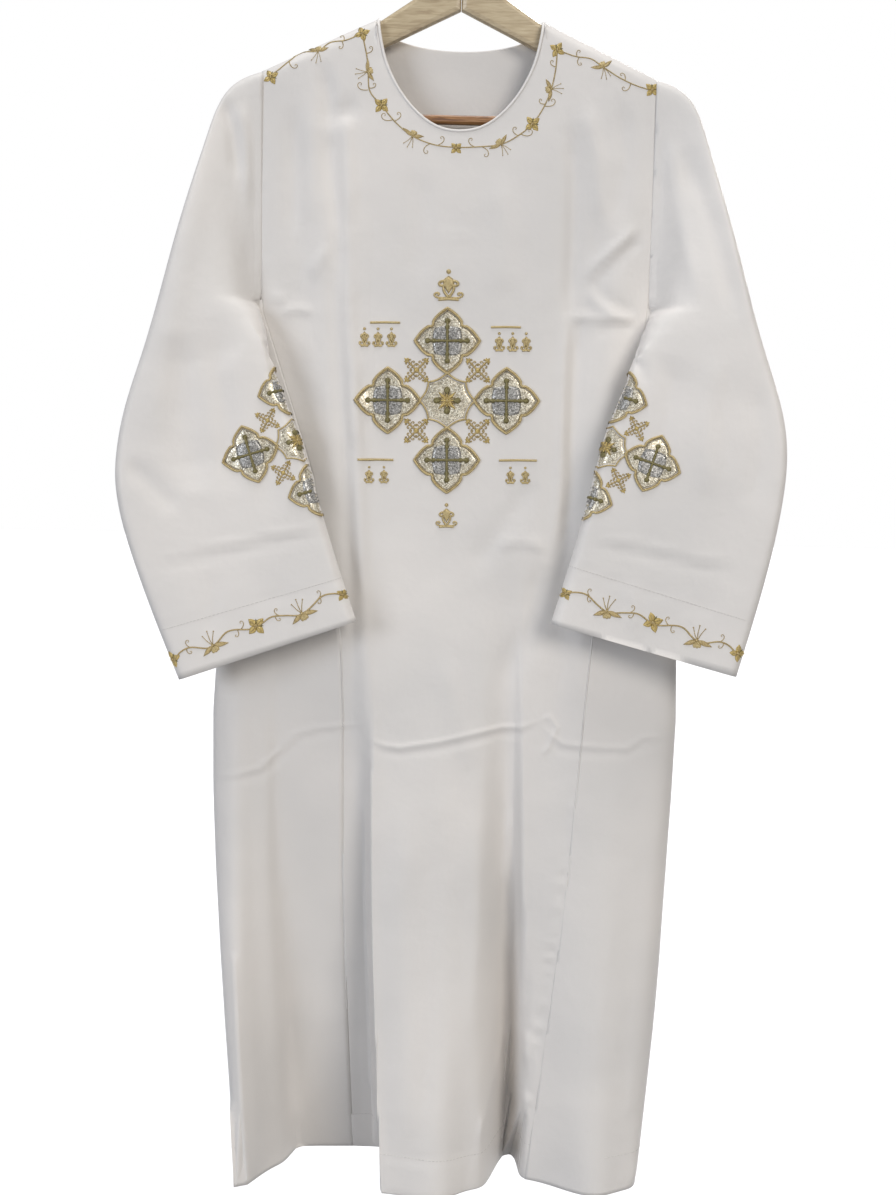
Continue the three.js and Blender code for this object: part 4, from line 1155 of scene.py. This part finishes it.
hem_places = [(x, hem_line(x)) for x in range(-212, 212, 6)]
gore_places = [(y, HEM_DROP - HEM_TURNING) for y in range(-60, 110, 6)]
parts = [(stitched(hem_places), front_tree, "front"), (stitched(hem_places), back_tree, "back"),
         (stitched(gore_places), tree_of(gore_cloths[-1]), "left"),
         (stitched(gore_places), tree_of(gore_cloths[1]), "right")]
for hand, tree in sleeve_trees.items():
    parts += both_faces(stitched(CUFF_LINES[hand]), tree)
sew("hem_and_cuff_stitches", parts)


# ---- Hanger ----

for node, material in (("hanger_arm_left", BEECH_LEFT), ("hanger_arm_right", BEECH_RIGHT),
                       ("hanger_bar", BAR_BEECH), ("hanger_hook", NICKEL_WIRE)):
    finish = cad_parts[node].data.materials
    finish.clear()
    finish.append(material)


# A loop over the hands, which does nothing.
for hand, _ in HANDS:
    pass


# ---- Floor, light and camera ----

FLOOR_REACH, FLOOR_BELOW = 30.0, 1.55  # in metres, from the hook
bm = bmesh.new()
bmesh.ops.create_grid(bm, x_segments=2, y_segments=2, size=FLOOR_REACH)
bmesh.ops.translate(bm, verts=bm.verts, vec=(0, 0, -FLOOR_BELOW))
painted_floor = new_piece("floor", mesh_from(bm, "floor"), [PAINTED_FLOOR])
painted_floor.visible_diffuse = False  # it throws no light up under the tunic

# The room is seen white, and lights the cloth softly from all round.
world = bpy.data.worlds.new("studio")
bpy.context.scene.world = world
world.use_nodes = True
nodes = world.node_tree.nodes
nodes.clear()
seen = add(nodes, "Background", {"Color": (1.0, 1.0, 1.0, 1.0), "Strength": 1.0})
around = add(nodes, "Background", {"Color": linear("#F6F8FF"), "Strength": 0.26})
either = add(nodes, "MixShader", {
    0: add(nodes, "LightPath").outputs["Is Camera Ray"], 1: around.outputs[0], 2: seen.outputs[0]})
add(nodes, "OutputWorld", {"Surface": either.outputs[0]})
bpy.context.scene.view_settings.view_transform = "Standard"

# Wide lamps far off. Columns: name, turn to the right and height in degrees as seen from the
# tunic, strength, how wide the lamp looks in degrees, colour
LAMPS = [
    ("key", 30, 20, 1.45, 26, "#FFFBF6"),
    ("window", -46, 8, 1.3, 26, "#EAF2FF"),
    ("ceiling", 0, 84, 2.0, 40, "#FFFFFF"),
    ("rear", 160, 24, 2.0, 30, "#FFFDFA"),
]
for name, turn, height, strength, width, colour in LAMPS:
    lamp = bpy.data.lights.new(name, "SUN")
    lamp.energy = strength
    lamp.angle = radians(width)
    lamp.color = linear(colour)[:3]
    holder = new_object(name, lamp)
    turn, height = radians(turn), radians(height)
    level = cos(height)
    towards = Vector((sin(turn) * level, -cos(turn) * level, sin(height)))
    holder.rotation_euler = towards.to_track_quat("Z", "Y").to_euler()

# The camera stands 1.5 m away, looks down 4 degrees and is rolled by 1.3 degrees.
DISTANCE, DOWN, ROLL = 1.5, radians(4), radians(1.3)
AIM_DROP = 583.85
LENS_IN_PIXELS, IMAGE_HEIGHT, SENSOR = 1442.3, 1195, 36
aim = metres(0, 0, AIM_DROP)
ahead = Vector((0, cos(DOWN), -sin(DOWN)))
level = Vector((1, 0, 0))
upward = level.cross(ahead)
sideways = level * cos(ROLL) + upward * sin(ROLL)
overhead = upward * cos(ROLL) - level * sin(ROLL)
camera = new_object("camera", bpy.data.cameras.new("camera"))
camera.data.lens = SENSOR * LENS_IN_PIXELS / IMAGE_HEIGHT
camera.data.clip_end = 100.0
camera.matrix_world = Matrix.Translation(aim - ahead * DISTANCE) @ Matrix(
    (sideways, overhead, -ahead)).transposed().to_4x4()
bpy.context.scene.camera = camera
